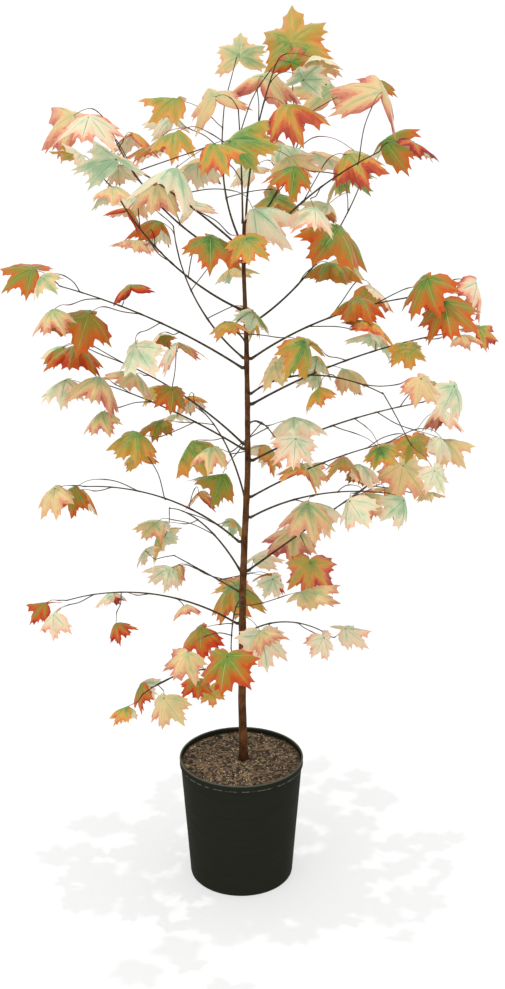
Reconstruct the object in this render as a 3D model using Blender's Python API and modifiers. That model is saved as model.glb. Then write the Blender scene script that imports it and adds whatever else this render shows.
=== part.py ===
"""Young red maple in autumn leaf, standing in a round nursery pot.

A thin trunk leans and bends a little from the potting mix up to a fork with two leaders.
Slim boughs leave it all round, each one third of a limb, and the rest of the limb is the stem of
a mass of foliage: twigs, long leaf stalks and lobed blades, grown by one seeded rule.
Lengths are in metres and angles in degrees, +Z is up, and the pot stands on Z = 0.
Turns are counted from +X towards +Y, rises from the level upwards.
"""

import math
import random
from collections import namedtuple

import bmesh
import bpy
import numpy as np
from mathutils import Matrix, Vector

OBJECT_NAME = "red_maple_in_nursery_pot"

# Driving dimensions of the pot and its filling
POT_HEIGHT = 0.301
POT_RIM_RADIUS = 0.1442
POT_BASE_RADIUS = 0.1206
POT_WALL = 0.0025
POT_FLOOR = 0.004
POT_HEEL = 0.003
LIP_DEPTH = 0.017
LIP_OVERHANG = 0.0016
LIP_ROUND = 0.001
MIX_BELOW_RIM = 0.0115
MIX_DOME = 0.003
MIX_FLAT_RADIUS = 0.025
MIX_SHOULDER_RADIUS = 0.088
MIX_SHOULDER = 0.0018
TURNED_SIDES = 36

# Driving dimensions of the trunk, with how far its middle stands off the pot's axis at each height
CLEAR = 0.0003
FOOT_HEIGHT = POT_HEIGHT - MIX_BELOW_RIM + MIX_DOME + CLEAR
FORK_HEIGHT = 1.529
TRUNK_RADIUS_LOW = 0.0098
TRUNK_RADIUS_FORK = 0.0036
TRUNK_SIDES = 12
TRUNK_BEND = ((0.28, 0.005), (0.31, 0.005), (0.44, 0.002), (0.71, 0.004), (0.85, 0.009),
              (1.00, 0.016), (1.16, 0.015), (1.29, 0.013), (1.45, 0.007), (1.53, 0.009))
FLARE = 0.0026
FLARE_HEIGHT = 0.020
FLARE_RINGS = (0, 0.3, 0.7, 1.3, 2.2, 4.0)
LEADER_OFFSET = 0.0031

# Driving dimensions of the limbs, of which a bough is the first steps
LIMB_STEPS = 9
BOUGH_STEPS = 3
SHORTEST_BOUGHED = 0.21
BOUGH_SIDES = 6
COLLAR = 0.005
COLLAR_SWELL = 1.15
TIP_GAP = 0.0005
LIMB_TIP_RADIUS = 0.0012
LIMB_BASE_RADIUS = 0.0016
RADIUS_PER_LENGTH = 0.0024

# Driving dimensions of twigs, stalks and blades
FIRST_SPRAY = 0.30
SPRAY_PAST_BOUGH = 0.03
TWIG_STEPS = 1
STALK_STEPS = 2
TWIG_SIDES = 3
TWIG_RADIUS = 0.0012
STALK_RADIUS = 0.0010
BLADE_MIDDLE = 0.0032
SUNK = 0.003
LOWEST_LEAF = 0.344

# Half the outline of a blade: angle from the tip lobe, and reach from the stalk as a share of its size
LOBES = ((0, 1.0), (22, 0.66), (45, 0.90), (73, 0.60), (104, 0.68), (180, 0.12))

# What the rule draws for a twig: degrees from its limb's line, metres for leaves of scale 1
TIP_TWIG_TURN = (-30, 30)
SIDE_TWIG_TURN = (15, 110)
TWIG_LIFT = (-35, 35)
TWIG_SAG = (0, 30)
TWIG_SWEEP = (-15, 15)
SHORTEST_TWIG = 0.012
TWIG_LENGTH = (0.0, 0.14)
LEAF_COUNTS = (1, 2, 2, 3)

# What it draws for a leaf: a pitch rises from that of low leaves to that of the crown's
LEAF_SPREAD = (30, 80)
LEAF_TURN = (-15, 15)
STALK_RISE = (-20, 50)
STALK_LENGTH = (0.035, 0.085)
STALK_SAG = (10, 60)
STALK_SWEEP = (-20, 20)
CROWN_FOOT = 1.414
CROWN_DEPTH = 0.45
LOW_PITCH = -24
CROWN_PITCH = 25
BLADE_PITCH = (-38, 38)
BLADE_TURN = (-30, 30)
BLADE_ROLL = (-28, 28)
BLADE_SIZE = (0.054, 0.110)
BLADE_DROOP = (0.1, 0.4)
BLADE_FOLD = (0.2, 0.8)

# Room that a leaf keeps from what stands already; a twig or a stalk keeps half of it
LEAF_ROOM = 0.018
TWIG_ROOM = 0.012
TRUNK_ROOM = 0.016
POT_ROOM = 0.030
WOOD_SHARE = 0.5

# Wood nearer its own root than this isn't felt, as it must touch what it grows from
NEAR_LIMB = 0.018
NEAR_TWIG = 0.014
NEAR_BLADE = 0.004
FEELING_STEP = 0.008

# How closely a blade, the trunk and the pot's rim are felt
FEELING_RINGS = (0.35, 0.7, 1.0)
TRUNK_LENGTHS = 11
RIM_POINTS = 60

Limb = namedtuple("Limb", "name height turn rise tip_rise sweep length scale tint seeds")

# The limbs from the lowest up: height on the trunk, turn, rise at the base and at the tip, sweep, length,
# scale of its leaves, main tint, and the seed of each spray from the bough's end to the tip
LIMBS = (
    Limb("low_left_front", 0.514, 215, 30, -18, 7, 0.268, 0.80, "orange",
         (200437, 300638, 300629, 300235, 201635)),
    Limb("low_right", 0.614, 345, 38, -25, -3, 0.190, 0.90, "gold",
         (41222, 200372, 200885)),
    Limb("low_left", 0.634, 176, 32, -18, 2, 0.400, 0.80, "red",
         (201735, 300497, 300187, 201611, 201929)),
    Limb("low_front", 0.699, 262, 19, -16, 8, 0.290, 0.90, "orange",
         (201906, 300395, 300276, 300323, 62055)),
    Limb("low_back_left", 0.709, 140, 12, 10, 0, 0.200, 0.85, "rose",
         (41202, 300335, 200282, 201936)),
    Limb("low_right_back", 0.759, 35, 22, 22, 0, 0.420, 0.90, "orange",
         (40880, 200147, 200489, 201284, 300381, 300555)),
    Limb("low_back", 0.759, 128, 39, -16, -7, 0.320, 0.85, "gold",
         (200067, 200355, 300182, 200041)),
    Limb("mid_left", 0.831, 188, 45, 4, 11, 0.380, 0.85, "gold",
         (300076, 201434, 300033, 61937, 300480)),
    Limb("mid_right_front", 0.889, 335, 34, 2, 0, 0.325, 0.85, "orange",
         (200207, 200396, 200480, 300661, 201717)),
    Limb("mid_back", 0.929, 108, 44, 6, 10, 0.335, 0.95, "gold",
         (300468, 300682, 200632, 300370, 300634)),
    Limb("mid_right", 0.934, 20, 24, 8, -2, 0.340, 0.90, "gold",
         (300395, 201845, 41572, 201505, 300517)),
    Limb("mid_right_long", 1.019, 350, 31, 13, 0, 0.392, 0.90, "orange",
         (300360, 300365, 201047, 300229, 300540, 200570)),
    Limb("mid_left_high", 1.044, 172, 31, 17, 0, 0.325, 0.80, "orange",
         (300421, 300690, 300157, 300340, 300530)),
    Limb("mid_left_back", 1.054, 150, 36, 12, 5, 0.395, 0.85, "orange",
         (300048, 300292, 300615, 40844, 201813)),
    Limb("mid_front", 1.104, 285, 25, -10, 0, 0.200, 0.85, "gold",
         (300644, 300506, 300264, 300153)),
    Limb("high_right", 1.144, 10, 28, 8, -1, 0.455, 0.85, "orange",
         (300487, 300274, 300351, 200401, 300272, 201412)),
    Limb("high_right_front", 1.169, 318, 38, -25, 28, 0.325, 0.85, "gold",
         (300588, 62064, 300015, 201775, 300020)),
    Limb("high_left", 1.224, 182, 34, 16, 0, 0.420, 0.85, "rose",
         (300510, 300590, 200175, 300399, 300157, 300234, 200674)),
    Limb("high_left_back", 1.244, 140, 26, 85, 14, 0.335, 0.98, "gold",
         (201829, 201380, 300097, 300552)),
    Limb("high_right_long", 1.244, 355, 36, 7, -1, 0.385, 1.08, "rose",
         (300258, 201611, 201228, 201424, 300392, 201012)),
    Limb("high_front", 1.284, 250, 35, 10, 0, 0.150, 0.98, "gold",
         (201210, 300569, 300564)),
    Limb("high_back", 1.314, 42, 19, 60, 0, 0.435, 1.15, "gold",
         (201228, 201392, 300591, 300227, 300467)),
    Limb("high_left_long", 1.349, 200, 27, 61, 2, 0.378, 0.98, "rose",
         (41439, 200443, 200143, 300015, 300624, 200455)),
    Limb("top_left", 1.449, 165, 21, 66, -6, 0.403, 0.98, "rose",
         (300139, 300207, 201723, 61850, 300468, 201093)),
    Limb("top_left_front", 1.479, 215, 40, 20, 30, 0.400, 1.08, "gold",
         (300217, 201681, 201921, 300434, 200452)),
    Limb("top_back", 1.484, 112, 30, 55, -30, 0.400, 1.15, "rose",
         (200994, 300481, 300269, 300563, 200139)),
    Limb("top_right_back", 1.494, 65, 21, 51, 0, 0.405, 1.15, "orange",
         (300477, 300094, 320948, 40312, 300531)),
    Limb("top_right_front", 1.449, 330, 52, 26, 4, 0.375, 1.08, "red",
         (41840, 300535, 300510, 300182, 300609, 60234)),
    Limb("leader_left", 1.530, 110, 88, 80, 2, 0.225, 1.15, "rose",
         (201895, 300446, 300143, 300230)),
    Limb("leader_right", 1.530, 10, 88, 70, -8, 0.320, 1.15, "orange",
         (300642, 201911, 300574, 300336, 300593, 300678)),
)


def heading(rise, turn):
    """The way that a limb points, as a unit vector."""
    up, around = math.radians(rise), math.radians(turn)
    return np.array([math.cos(up) * math.cos(around), math.cos(up) * math.sin(around), math.sin(up)])


def limb_path(start, rise, tip_rise, turn, sweep, length, steps):
    """Points along a limb that bends evenly from one rise to the other while it turns by its sweep."""
    points = [np.asarray(start, float)]
    for step in range(steps):
        part = (step + 0.5) / steps
        way = heading(rise + (tip_rise - rise) * part, turn + sweep * part)
        points.append(points[-1] + way * length / steps)
    return np.array(points)


def trunk_axis(height):
    """The middle of the trunk at a height."""
    heights, offsets = zip(*TRUNK_BEND)
    return np.array([np.interp(height, heights, offsets), 0.0, height])


def trunk_radius(height):
    """The trunk tapers to the fork, and flares where it enters the mix."""
    up = height - FOOT_HEIGHT
    share = up / (FORK_HEIGHT - FOOT_HEIGHT)
    taper = TRUNK_RADIUS_LOW + (TRUNK_RADIUS_FORK - TRUNK_RADIUS_LOW) * share
    return taper + FLARE * math.exp(-up / FLARE_HEIGHT)


def limb_root(limb):
    """Where a limb leaves the trunk: on the trunk's side, or on top of the fork for a leader."""
    if limb.height > FORK_HEIGHT:
        side = LEADER_OFFSET * math.copysign(1, math.cos(math.radians(limb.turn)))
        return trunk_axis(FORK_HEIGHT) + np.array([side, 0.0, CLEAR])
    return trunk_axis(limb.height) + heading(0, limb.turn) * (trunk_radius(limb.height) + CLEAR)


def whole_limb(limb):
    """The line of a limb from the end of its collar to its tip."""
    start = limb_root(limb)
    if limb.height <= FORK_HEIGHT:
        start = start + heading(0, limb.turn) * COLLAR
    return limb_path(start, limb.rise, limb.tip_rise, limb.turn, limb.sweep, limb.length, LIMB_STEPS)


def limb_radius(limb, share):
    """A limb tapers evenly from its base to its tip."""
    base = LIMB_BASE_RADIUS + RADIUS_PER_LENGTH * limb.length
    return base + (LIMB_TIP_RADIUS - base) * share


def foliage_start(limb):
    """The step of a limb at which its mass of foliage begins: a short limb has no bough of its own."""
    return BOUGH_STEPS if limb.length > SHORTEST_BOUGHED else 0


def blade_outline():
    """Flat points round a blade, as shares of its size, with the stalk's end at the middle."""
    right = list(LOBES)
    left = [(360 - angle, reach) for angle, reach in LOBES[-2:0:-1]]
    return np.array([(reach * math.cos(math.radians(angle)), reach * math.sin(math.radians(angle)))
                     for angle, reach in right + left])


def blade_points(flat, leaf):
    """Flat points laid on a leaf's blade, which hangs from its midrib and droops to its tips."""
    fall = leaf["droop"] * (flat ** 2).sum(axis=1) + leaf["fold"] * np.abs(flat[:, 1])
    return leaf["root"] + leaf["size"] * (np.outer(flat[:, 0], leaf["along"])
                                          + np.outer(flat[:, 1], leaf["across"])
                                          - np.outer(fall, leaf["up"]))


def grow_leaf(draw, root, turn, scale):
    """A leaf on its stalk: the stalk climbs and bends over, and the blade hangs or stands at its end."""
    rise = draw(*STALK_RISE)
    length = draw(*STALK_LENGTH) * scale
    stalk = limb_path(root, rise, rise - draw(*STALK_SAG), turn, draw(*STALK_SWEEP), length, STALK_STEPS)
    crown_share = min(max((stalk[-1][2] - CROWN_FOOT) / CROWN_DEPTH, 0.0), 1.0)
    pitch = LOW_PITCH + (CROWN_PITCH - LOW_PITCH) * crown_share
    along = heading(pitch + draw(*BLADE_PITCH), turn + draw(*BLADE_TURN))
    level = np.cross((0.0, 0.0, 1.0), along)
    level /= np.linalg.norm(level)
    upright = np.cross(along, level)
    roll = math.radians(draw(*BLADE_ROLL))
    return {
        "stalk": stalk,
        "root": stalk[-1],
        "along": along,
        "across": math.cos(roll) * level + math.sin(roll) * upright,
        "up": math.cos(roll) * upright - math.sin(roll) * level,
        "size": draw(*BLADE_SIZE) * scale,
        "droop": draw(*BLADE_DROOP),
        "fold": draw(*BLADE_FOLD),
    }


def grow_spray(limb, seed, root, share, at_tip):
    """One twig with one to three leaves at its end, all drawn from one seed."""
    source = random.Random(seed)
    draw = source.uniform
    rise = limb.rise + (limb.tip_rise - limb.rise) * share
    turn = limb.turn + limb.sweep * share
    turn += draw(*TIP_TWIG_TURN) if at_tip else draw(*SIDE_TWIG_TURN) * source.choice((-1, 1))
    lift = rise + draw(*TWIG_LIFT)
    length = SHORTEST_TWIG + draw(*TWIG_LENGTH) * limb.scale
    twig = limb_path(root, lift, lift - draw(*TWIG_SAG), turn, draw(*TWIG_SWEEP), length, TWIG_STEPS)
    leaves = []
    for side in (0, 1, -1)[:source.choice(LEAF_COUNTS)]:
        away = turn + side * draw(*LEAF_SPREAD) + draw(*LEAF_TURN)
        leaves.append(grow_leaf(draw, twig[-1], away, limb.scale))
    return twig, leaves


def close_points(path):
    """Points along a path, close enough together to feel anything that it touches."""
    points = []
    for start, end in zip(path[:-1], path[1:]):
        count = max(int(np.linalg.norm(end - start) / FEELING_STEP), 1) + 1
        points.extend(start + (end - start) * number / count for number in range(count))
    return np.array(points + [path[-1]])


def beyond(points, root, distance):
    """The points that lie further from a root than a distance."""
    return points[np.linalg.norm(points - root, axis=1) > distance]


def taken_space(points, room):
    """Points that stand already, with the room that a leaf keeps from them and the ball they fill."""
    middle = points.mean(axis=0)
    return points, room, middle, np.linalg.norm(points - middle, axis=1).max()


def is_clear(points, taken, share):
    """True when no point comes within its share of the room round anything that stands already."""
    if len(points) == 0:
        return True
    middle = points.mean(axis=0)
    reach = np.linalg.norm(points - middle, axis=1).max()
    for others, room, other_middle, other_reach in taken:
        gap = room * share
        if np.linalg.norm(other_middle - middle) > reach + other_reach + gap:
            continue
        apart = points[:, None, :] - others[None, :, :]
        if (apart ** 2).sum(axis=2).min() < gap ** 2:
            return False
    return True


def feeling_points():
    """Flat points spread over a blade, by which it feels its neighbours."""
    rim = blade_outline()
    between = (rim + np.roll(rim, -1, axis=0)) / 2
    edge = np.vstack([rim, between])
    return np.vstack([np.zeros((1, 2)), *[edge * ring for ring in FEELING_RINGS]])


def standing_spaces(limbs):
    """The spaces of the trunk, the limbs and the pot's rim, which stand before any leaf."""
    taken = [taken_space(close_points(whole_limb(limb)), TWIG_ROOM) for limb in limbs]
    heights = np.linspace(FOOT_HEIGHT, FORK_HEIGHT, TRUNK_LENGTHS + 1)
    for low, high in zip(heights, heights[1:]):
        taken.append(taken_space(close_points([trunk_axis(low), trunk_axis(high)]), TRUNK_ROOM))
    rim = [(POT_RIM_RADIUS * math.cos(angle), POT_RIM_RADIUS * math.sin(angle), POT_HEIGHT)
           for angle in np.linspace(0, 2 * math.pi, RIM_POINTS)]
    taken.append(taken_space(np.array(rim), POT_ROOM))
    return taken


def keep_spray(twig, leaves, taken):
    """What of a spray keeps clear: a twig that touches ends its spray, and a leaf that does is skipped."""
    wood = beyond(close_points(twig), twig[0], NEAR_LIMB)
    if not is_clear(wood, taken, WOOD_SHARE):
        return None
    mine = [taken_space(wood, TWIG_ROOM)] if len(wood) else []
    kept = []
    for leaf in leaves:
        blade = blade_points(feeling_points(), leaf)
        stalk = beyond(close_points(leaf["stalk"]), twig[-1], NEAR_TWIG)
        stalk = beyond(stalk, leaf["root"], NEAR_BLADE)
        if blade[:, 2].min() < LOWEST_LEAF or not is_clear(blade, taken + mine, 1.0):
            continue
        if not is_clear(stalk, taken + mine, WOOD_SHARE):
            continue
        mine.append(taken_space(blade, LEAF_ROOM))
        if len(stalk):
            mine.append(taken_space(stalk, TWIG_ROOM))
        kept.append(leaf)
    return twig, kept, mine


def spray_shares(limb):
    """Where along a limb its sprays grow: evenly from the start of its foliage to its tip."""
    first = max(foliage_start(limb) / LIMB_STEPS + SPRAY_PAST_BOUGH, FIRST_SPRAY)
    return np.linspace(first, 1.0, len(limb.seeds))


def point_at(path, share):
    """The point at a share of a limb's line."""
    place = share * (len(path) - 1)
    step = min(int(place), len(path) - 2)
    return path[step] + (path[step + 1] - path[step]) * (place - step)


def clear_scene():
    """Empty the file, so that the model is the same wherever it runs."""
    for old in list(bpy.data.objects):
        bpy.data.objects.remove(old)
    for old in list(bpy.data.collections):
        bpy.data.collections.remove(old)


def make_material(name, colour, roughness, metallic=0.0):
    """A plain Principled material."""
    material = bpy.data.materials.new(name)
    material.use_nodes = True
    shader = material.node_tree.nodes["Principled BSDF"]
    shader.inputs["Base Color"].default_value = (*colour, 1.0)
    shader.inputs["Roughness"].default_value = roughness
    shader.inputs["Metallic"].default_value = metallic
    return material


def make_materials():
    """The pot's black-green plastic, the mix, the bark, and one tint of leaf for each kind of spray."""
    return {
        "pot": make_material("pot_plastic", (0.018, 0.022, 0.017), 0.45),
        "mix": make_material("potting_mix", (0.13, 0.085, 0.055), 0.95),
        "bark": make_material("bark", (0.10, 0.035, 0.018), 0.75),
        "rose": make_material("leaf_rose", (0.70, 0.30, 0.20), 0.6),
        "red": make_material("leaf_red", (0.62, 0.10, 0.03), 0.6),
        "orange": make_material("leaf_orange", (0.75, 0.24, 0.05), 0.6),
        "gold": make_material("leaf_gold", (0.70, 0.42, 0.07), 0.6),
    }


def add_object(name, data, collection, material):
    """Link a new object, carrying its material, into a collection."""
    made = bpy.data.objects.new(name, data)
    data.materials.append(material)
    collection.objects.link(made)
    return made


def turned_solid(name, profile, collection, material):
    """A solid turned from points of radius and height that run down its outer side."""
    mesh = bpy.data.meshes.new(name)
    points = [(radius, 0.0, height) for radius, height in profile]
    mesh.from_pydata(points, [(i, i + 1) for i in range(len(points) - 1)], [])
    turned = add_object(name, mesh, collection, material)
    screw = turned.modifiers.new("turn", "SCREW")
    screw.steps = TURNED_SIDES
    screw.render_steps = TURNED_SIDES
    screw.use_merge_vertices = True
    screw.merge_threshold = 0.0001
    screw.use_smooth_shade = False
    return turned


def pot_outer_radius(height):
    """The wall's outside leans out evenly from the base to the lip."""
    return POT_BASE_RADIUS + (POT_RIM_RADIUS - LIP_OVERHANG - POT_BASE_RADIUS) * height / POT_HEIGHT


def make_pot(collection, material):
    """A thin-walled round pot with a flat base and a rolled lip round its rim."""
    lip_foot = POT_HEIGHT - LIP_DEPTH
    wall_inside = pot_outer_radius(POT_HEIGHT) - POT_WALL
    profile = [
        (0.0, POT_FLOOR),
        (pot_outer_radius(POT_FLOOR) - POT_WALL, POT_FLOOR),
        (wall_inside, POT_HEIGHT - LIP_ROUND),
        (wall_inside + LIP_ROUND, POT_HEIGHT),
        (POT_RIM_RADIUS - LIP_ROUND, POT_HEIGHT),
        (POT_RIM_RADIUS, POT_HEIGHT - LIP_ROUND),
        (POT_RIM_RADIUS - LIP_ROUND / 2, lip_foot + LIP_ROUND),
        (POT_RIM_RADIUS - 2 * LIP_ROUND, lip_foot),
        (pot_outer_radius(lip_foot), lip_foot),
        (pot_outer_radius(POT_HEEL), POT_HEEL),
        (POT_BASE_RADIUS - POT_HEEL, 0.0),
        (0.0, 0.0),
    ]
    return turned_solid("pot", profile, collection, material)


def make_mix(collection, material):
    """Potting mix that fills the pot, flat under the trunk's foot and sloping a little to the wall."""
    play = POT_WALL + CLEAR
    edge = POT_HEIGHT - MIX_BELOW_RIM
    low = POT_FLOOR + CLEAR
    profile = [
        (0.0, edge + MIX_DOME),
        (MIX_FLAT_RADIUS, edge + MIX_DOME),
        (MIX_SHOULDER_RADIUS, edge + MIX_SHOULDER),
        (pot_outer_radius(edge) - play, edge),
        (pot_outer_radius(low) - play, low),
        (0.0, low),
    ]
    return turned_solid("potting_mix", profile, collection, material)


def round_limb(name, path, radii, sides, collection, material):
    """A tapering limb of round wood, as a curve with a radius at each point and closed ends."""
    curve = bpy.data.curves.new(name, "CURVE")
    curve.dimensions = "3D"
    curve.bevel_depth = 1.0
    curve.bevel_resolution = sides // 2 - 2
    curve.render_resolution_u = 0
    curve.use_fill_caps = True
    spline = curve.splines.new("POLY")
    spline.points.add(len(path) - 1)
    for point, place, radius in zip(spline.points, path, radii):
        point.co = (*place, 1.0)
        point.radius = radius
    return add_object(name, curve, collection, material)


def make_trunk(collection, material):
    """The trunk, flat at the mix and at the fork, with a ring at each bend and closer ones in the flare."""
    flare = [FOOT_HEIGHT + FLARE_HEIGHT * share for share in FLARE_RINGS]
    bends = [height for height, _ in TRUNK_BEND if flare[-1] < height < FORK_HEIGHT]
    heights = [*flare, *bends, FORK_HEIGHT]
    path = [trunk_axis(height) for height in heights]
    radii = [trunk_radius(height) for height in heights]
    return round_limb("trunk", path, radii, TRUNK_SIDES, collection, material)


def make_bough(limb, collection, material):
    """A bough: the first part of a limb, with a short collar square to the trunk."""
    path = list(whole_limb(limb)[:BOUGH_STEPS + 1])
    radii = [limb_radius(limb, step / LIMB_STEPS) for step in range(BOUGH_STEPS + 1)]
    if limb.height <= FORK_HEIGHT:
        path.insert(0, limb_root(limb))
        radii.insert(0, radii[0] * COLLAR_SWELL)
    return round_limb("bough_" + limb.name, path, radii, BOUGH_SIDES, collection, material)


def add_tube(mesh, path, radii):
    """A closed tapering tube of few sides, its end face drawn out from point to point."""
    path = [Vector(point) for point in path]
    ways = [(end - start).normalized() for start, end in zip(path, path[1:])]
    facings = [ways[0], *[(before + after).normalized() for before, after in zip(ways, ways[1:])], ways[-1]]
    turn = facings[0].to_track_quat("Z", "Y").to_matrix().to_4x4()
    made = bmesh.ops.create_circle(mesh, cap_ends=True, segments=TWIG_SIDES, radius=radii[0],
                                   matrix=Matrix.Translation(path[0]) @ turn)
    face = made["verts"][0].link_faces[0]
    for step in range(1, len(path)):
        drawn = bmesh.ops.extrude_face_region(mesh, geom=[face])["geom"]
        if step > 1:
            bmesh.ops.delete(mesh, geom=[face], context="FACES_ONLY")
        face = next(item for item in drawn if isinstance(item, bmesh.types.BMFace))
        bend = facings[step - 1].rotation_difference(facings[step]).to_matrix().to_4x4()
        move = (Matrix.Translation(path[step]) @ bend @ Matrix.Scale(radii[step] / radii[step - 1], 4)
                @ Matrix.Translation(-path[step - 1]))
        bmesh.ops.transform(mesh, matrix=move, verts=face.verts)
    bmesh.ops.recalc_face_normals(mesh, faces=mesh.faces)


def add_blade(mesh, leaf):
    """A lobed blade: a flat cone on the outline, thick at the stalk's end and thin at its edge."""
    outline = blade_outline()
    made = bmesh.ops.create_cone(mesh, cap_ends=True, cap_tris=True, segments=len(outline),
                                 radius1=1.0, radius2=0.0, depth=1.0)
    below = [vert for vert in made["verts"] if vert.co.z < 0]
    edge = sorted((vert for vert in below if vert.co.xy.length > 0.5),
                  key=lambda vert: math.atan2(vert.co.y, vert.co.x) % (2 * math.pi))
    for vert, place in zip(edge, blade_points(outline, leaf)):
        vert.co = place
    root = Vector(leaf["root"])
    half = Vector(leaf["up"]) * BLADE_MIDDLE / 2
    next(vert for vert in made["verts"] if vert.co.z > 0 and vert not in edge).co = root + half
    next(vert for vert in below if vert not in edge).co = root - half
    bmesh.ops.recalc_face_normals(mesh, faces=mesh.faces)


def piece_object(name, shape, piece, collection, material):
    """A loose piece of a mass, drawn by a function that adds it to a mesh, for the union to join."""
    mesh = bmesh.new()
    shape(mesh, *piece)
    data = bpy.data.meshes.new(name)
    mesh.to_mesh(data)
    mesh.free()
    return add_object(name, data, collection, material)


def heading_between(start, end):
    """The unit vector from one point to another."""
    return (end - start) / np.linalg.norm(end - start)


def foliage_pieces(limb, taken):
    """The stem, twigs, stalks and blades of one mass, each as the function and the values that draw it."""
    path = whole_limb(limb)
    start = foliage_start(limb)
    line = list(path[start:])
    radii = [limb_radius(limb, step / LIMB_STEPS) for step in range(start, LIMB_STEPS + 1)]
    if start:
        line[0] = line[0] + heading_between(line[0], line[1]) * TIP_GAP
    else:
        line.insert(0, limb_root(limb))
        radii.insert(0, radii[0] * COLLAR_SWELL)
    pieces = [(add_tube, (line, radii))]
    for seed, share in zip(limb.seeds, spray_shares(limb)):
        root = point_at(path, share)
        kept = keep_spray(*grow_spray(limb, seed, root, share, share == 1.0), taken)
        if kept is None:
            continue
        twig, leaves, spaces = kept
        taken.extend(spaces)
        inside = root - heading_between(path[int(share * LIMB_STEPS) - 1], root) * SUNK
        foot = twig[-1] - heading_between(twig[-2], twig[-1]) * SUNK
        for number, leaf in enumerate(leaves):
            wood = [foot] if number else [inside, *twig[1:]]
            stalk = [*leaf["stalk"][1:-1], leaf["root"] + leaf["along"] * SUNK]
            radii = [TWIG_RADIUS] * len(wood) + [STALK_RADIUS] * len(stalk)
            pieces.append((add_tube, (wood + stalk, radii)))
            pieces.append((add_blade, (leaf,)))
    return pieces


def make_foliage(limb, taken, collection, material):
    """A mass of foliage: its stem, with everything that grows on it joined to it as one solid."""
    loose = bpy.data.collections.new("loose_pieces")
    bpy.context.scene.collection.children.link(loose)
    stem_piece, *others = foliage_pieces(limb, taken)
    stem = piece_object("foliage_" + limb.name, *stem_piece, collection, material)
    for number, (shape, piece) in enumerate(others):
        piece_object(f"piece_{number}", shape, piece, loose, material)
    join = stem.modifiers.new("join", "BOOLEAN")
    join.operation = "UNION"
    join.operand_type = "COLLECTION"
    join.collection = loose
    join.solver = "EXACT"
    bpy.context.view_layer.update()
    joined = bpy.data.meshes.new_from_object(stem.evaluated_get(bpy.context.evaluated_depsgraph_get()))
    stem.modifiers.clear()
    stem.data = joined
    for piece in list(loose.objects):
        bpy.data.objects.remove(piece)
    bpy.data.collections.remove(loose)


def build():
    """Make every solid of the tree and its pot in one collection."""
    clear_scene()
    collection = bpy.data.collections.new(OBJECT_NAME)
    bpy.context.scene.collection.children.link(collection)
    materials = make_materials()
    make_pot(collection, materials["pot"])
    make_mix(collection, materials["mix"])
    make_trunk(collection, materials["bark"])
    for limb in LIMBS:
        if foliage_start(limb):
            make_bough(limb, collection, materials["bark"])
    taken = standing_spaces(LIMBS)
    for limb in LIMBS:
        make_foliage(limb, taken, collection, materials[limb.tint])


build()
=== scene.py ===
"""Young red maple in autumn leaf, standing in a round nursery pot, dressed over its solids.

The sections follow the plant from the ground up: pot, mix, trunk, limbs, twigs and leaves.
Lengths are in metres and angles in degrees, +Z is up and the pot stands on Z = 0.
"""

import math
import random
from collections import namedtuple

import bmesh
import bpy
import numpy as np
from mathutils import Matrix, Vector, noise


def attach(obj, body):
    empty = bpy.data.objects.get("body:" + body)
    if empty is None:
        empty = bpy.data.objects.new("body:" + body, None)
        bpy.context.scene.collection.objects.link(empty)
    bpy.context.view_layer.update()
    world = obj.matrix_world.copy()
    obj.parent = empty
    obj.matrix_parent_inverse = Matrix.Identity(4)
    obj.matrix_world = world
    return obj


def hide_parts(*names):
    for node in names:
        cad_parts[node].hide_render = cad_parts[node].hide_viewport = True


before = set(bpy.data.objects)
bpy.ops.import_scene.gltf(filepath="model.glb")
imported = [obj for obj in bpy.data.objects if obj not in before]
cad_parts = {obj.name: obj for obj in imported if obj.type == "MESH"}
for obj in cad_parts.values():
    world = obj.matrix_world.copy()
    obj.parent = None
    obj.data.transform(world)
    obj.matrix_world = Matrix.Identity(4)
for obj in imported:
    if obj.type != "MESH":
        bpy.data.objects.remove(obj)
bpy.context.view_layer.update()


# The studio is a white floor that glows a little under a white sky, so that both read as plain
# white. A small high sun throws the leaves' pale shadows straight down, and a wide soft light
# stands at the front left. The camera is at treetop height, three metres off, looking a little down.
CAMERA_PLACE = (0.026, -2.956, 1.912)
CAMERA_PITCH = 18.2
LENS = 51.76
WHITE = (1.0, 1.0, 1.0, 1.0)
FLOOR_SIZE = 400.0
FLOOR_GREY = 0.40
FLOOR_GLOW = 0.55
SURROUND = 1.0
NOON_STRENGTH = 0.95
NOON_WIDTH = 0.8
KEY_PLACE = (-2.4, -3.0, 3.2)
KEY_AIM = (0.0, 0.0, 1.0)
KEY_SIZE = 2.4
KEY_WATTS = 24


def new_finish(name):
    """A node-based material, with its tree and its main shader."""
    material = bpy.data.materials.new(name)
    material.use_nodes = True
    return material, material.node_tree, material.node_tree.nodes["Principled BSDF"]


def fill_inputs(tree, node, inputs):
    """Gives each input of a node a value, or joins it to another node's output."""
    for name, value in inputs.items():
        if isinstance(value, bpy.types.NodeSocket):
            tree.links.new(value, node.inputs[name])
        else:
            node.inputs[name].default_value = value


def piece_from(name, mesh, materials):
    """Turns a finished bmesh into an object with its materials, at the origin."""
    data = bpy.data.meshes.new(name)
    mesh.to_mesh(data)
    mesh.free()
    for material in materials:
        data.materials.append(material)
    piece = bpy.data.objects.new(name, data)
    bpy.context.scene.collection.objects.link(piece)
    return piece


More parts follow.
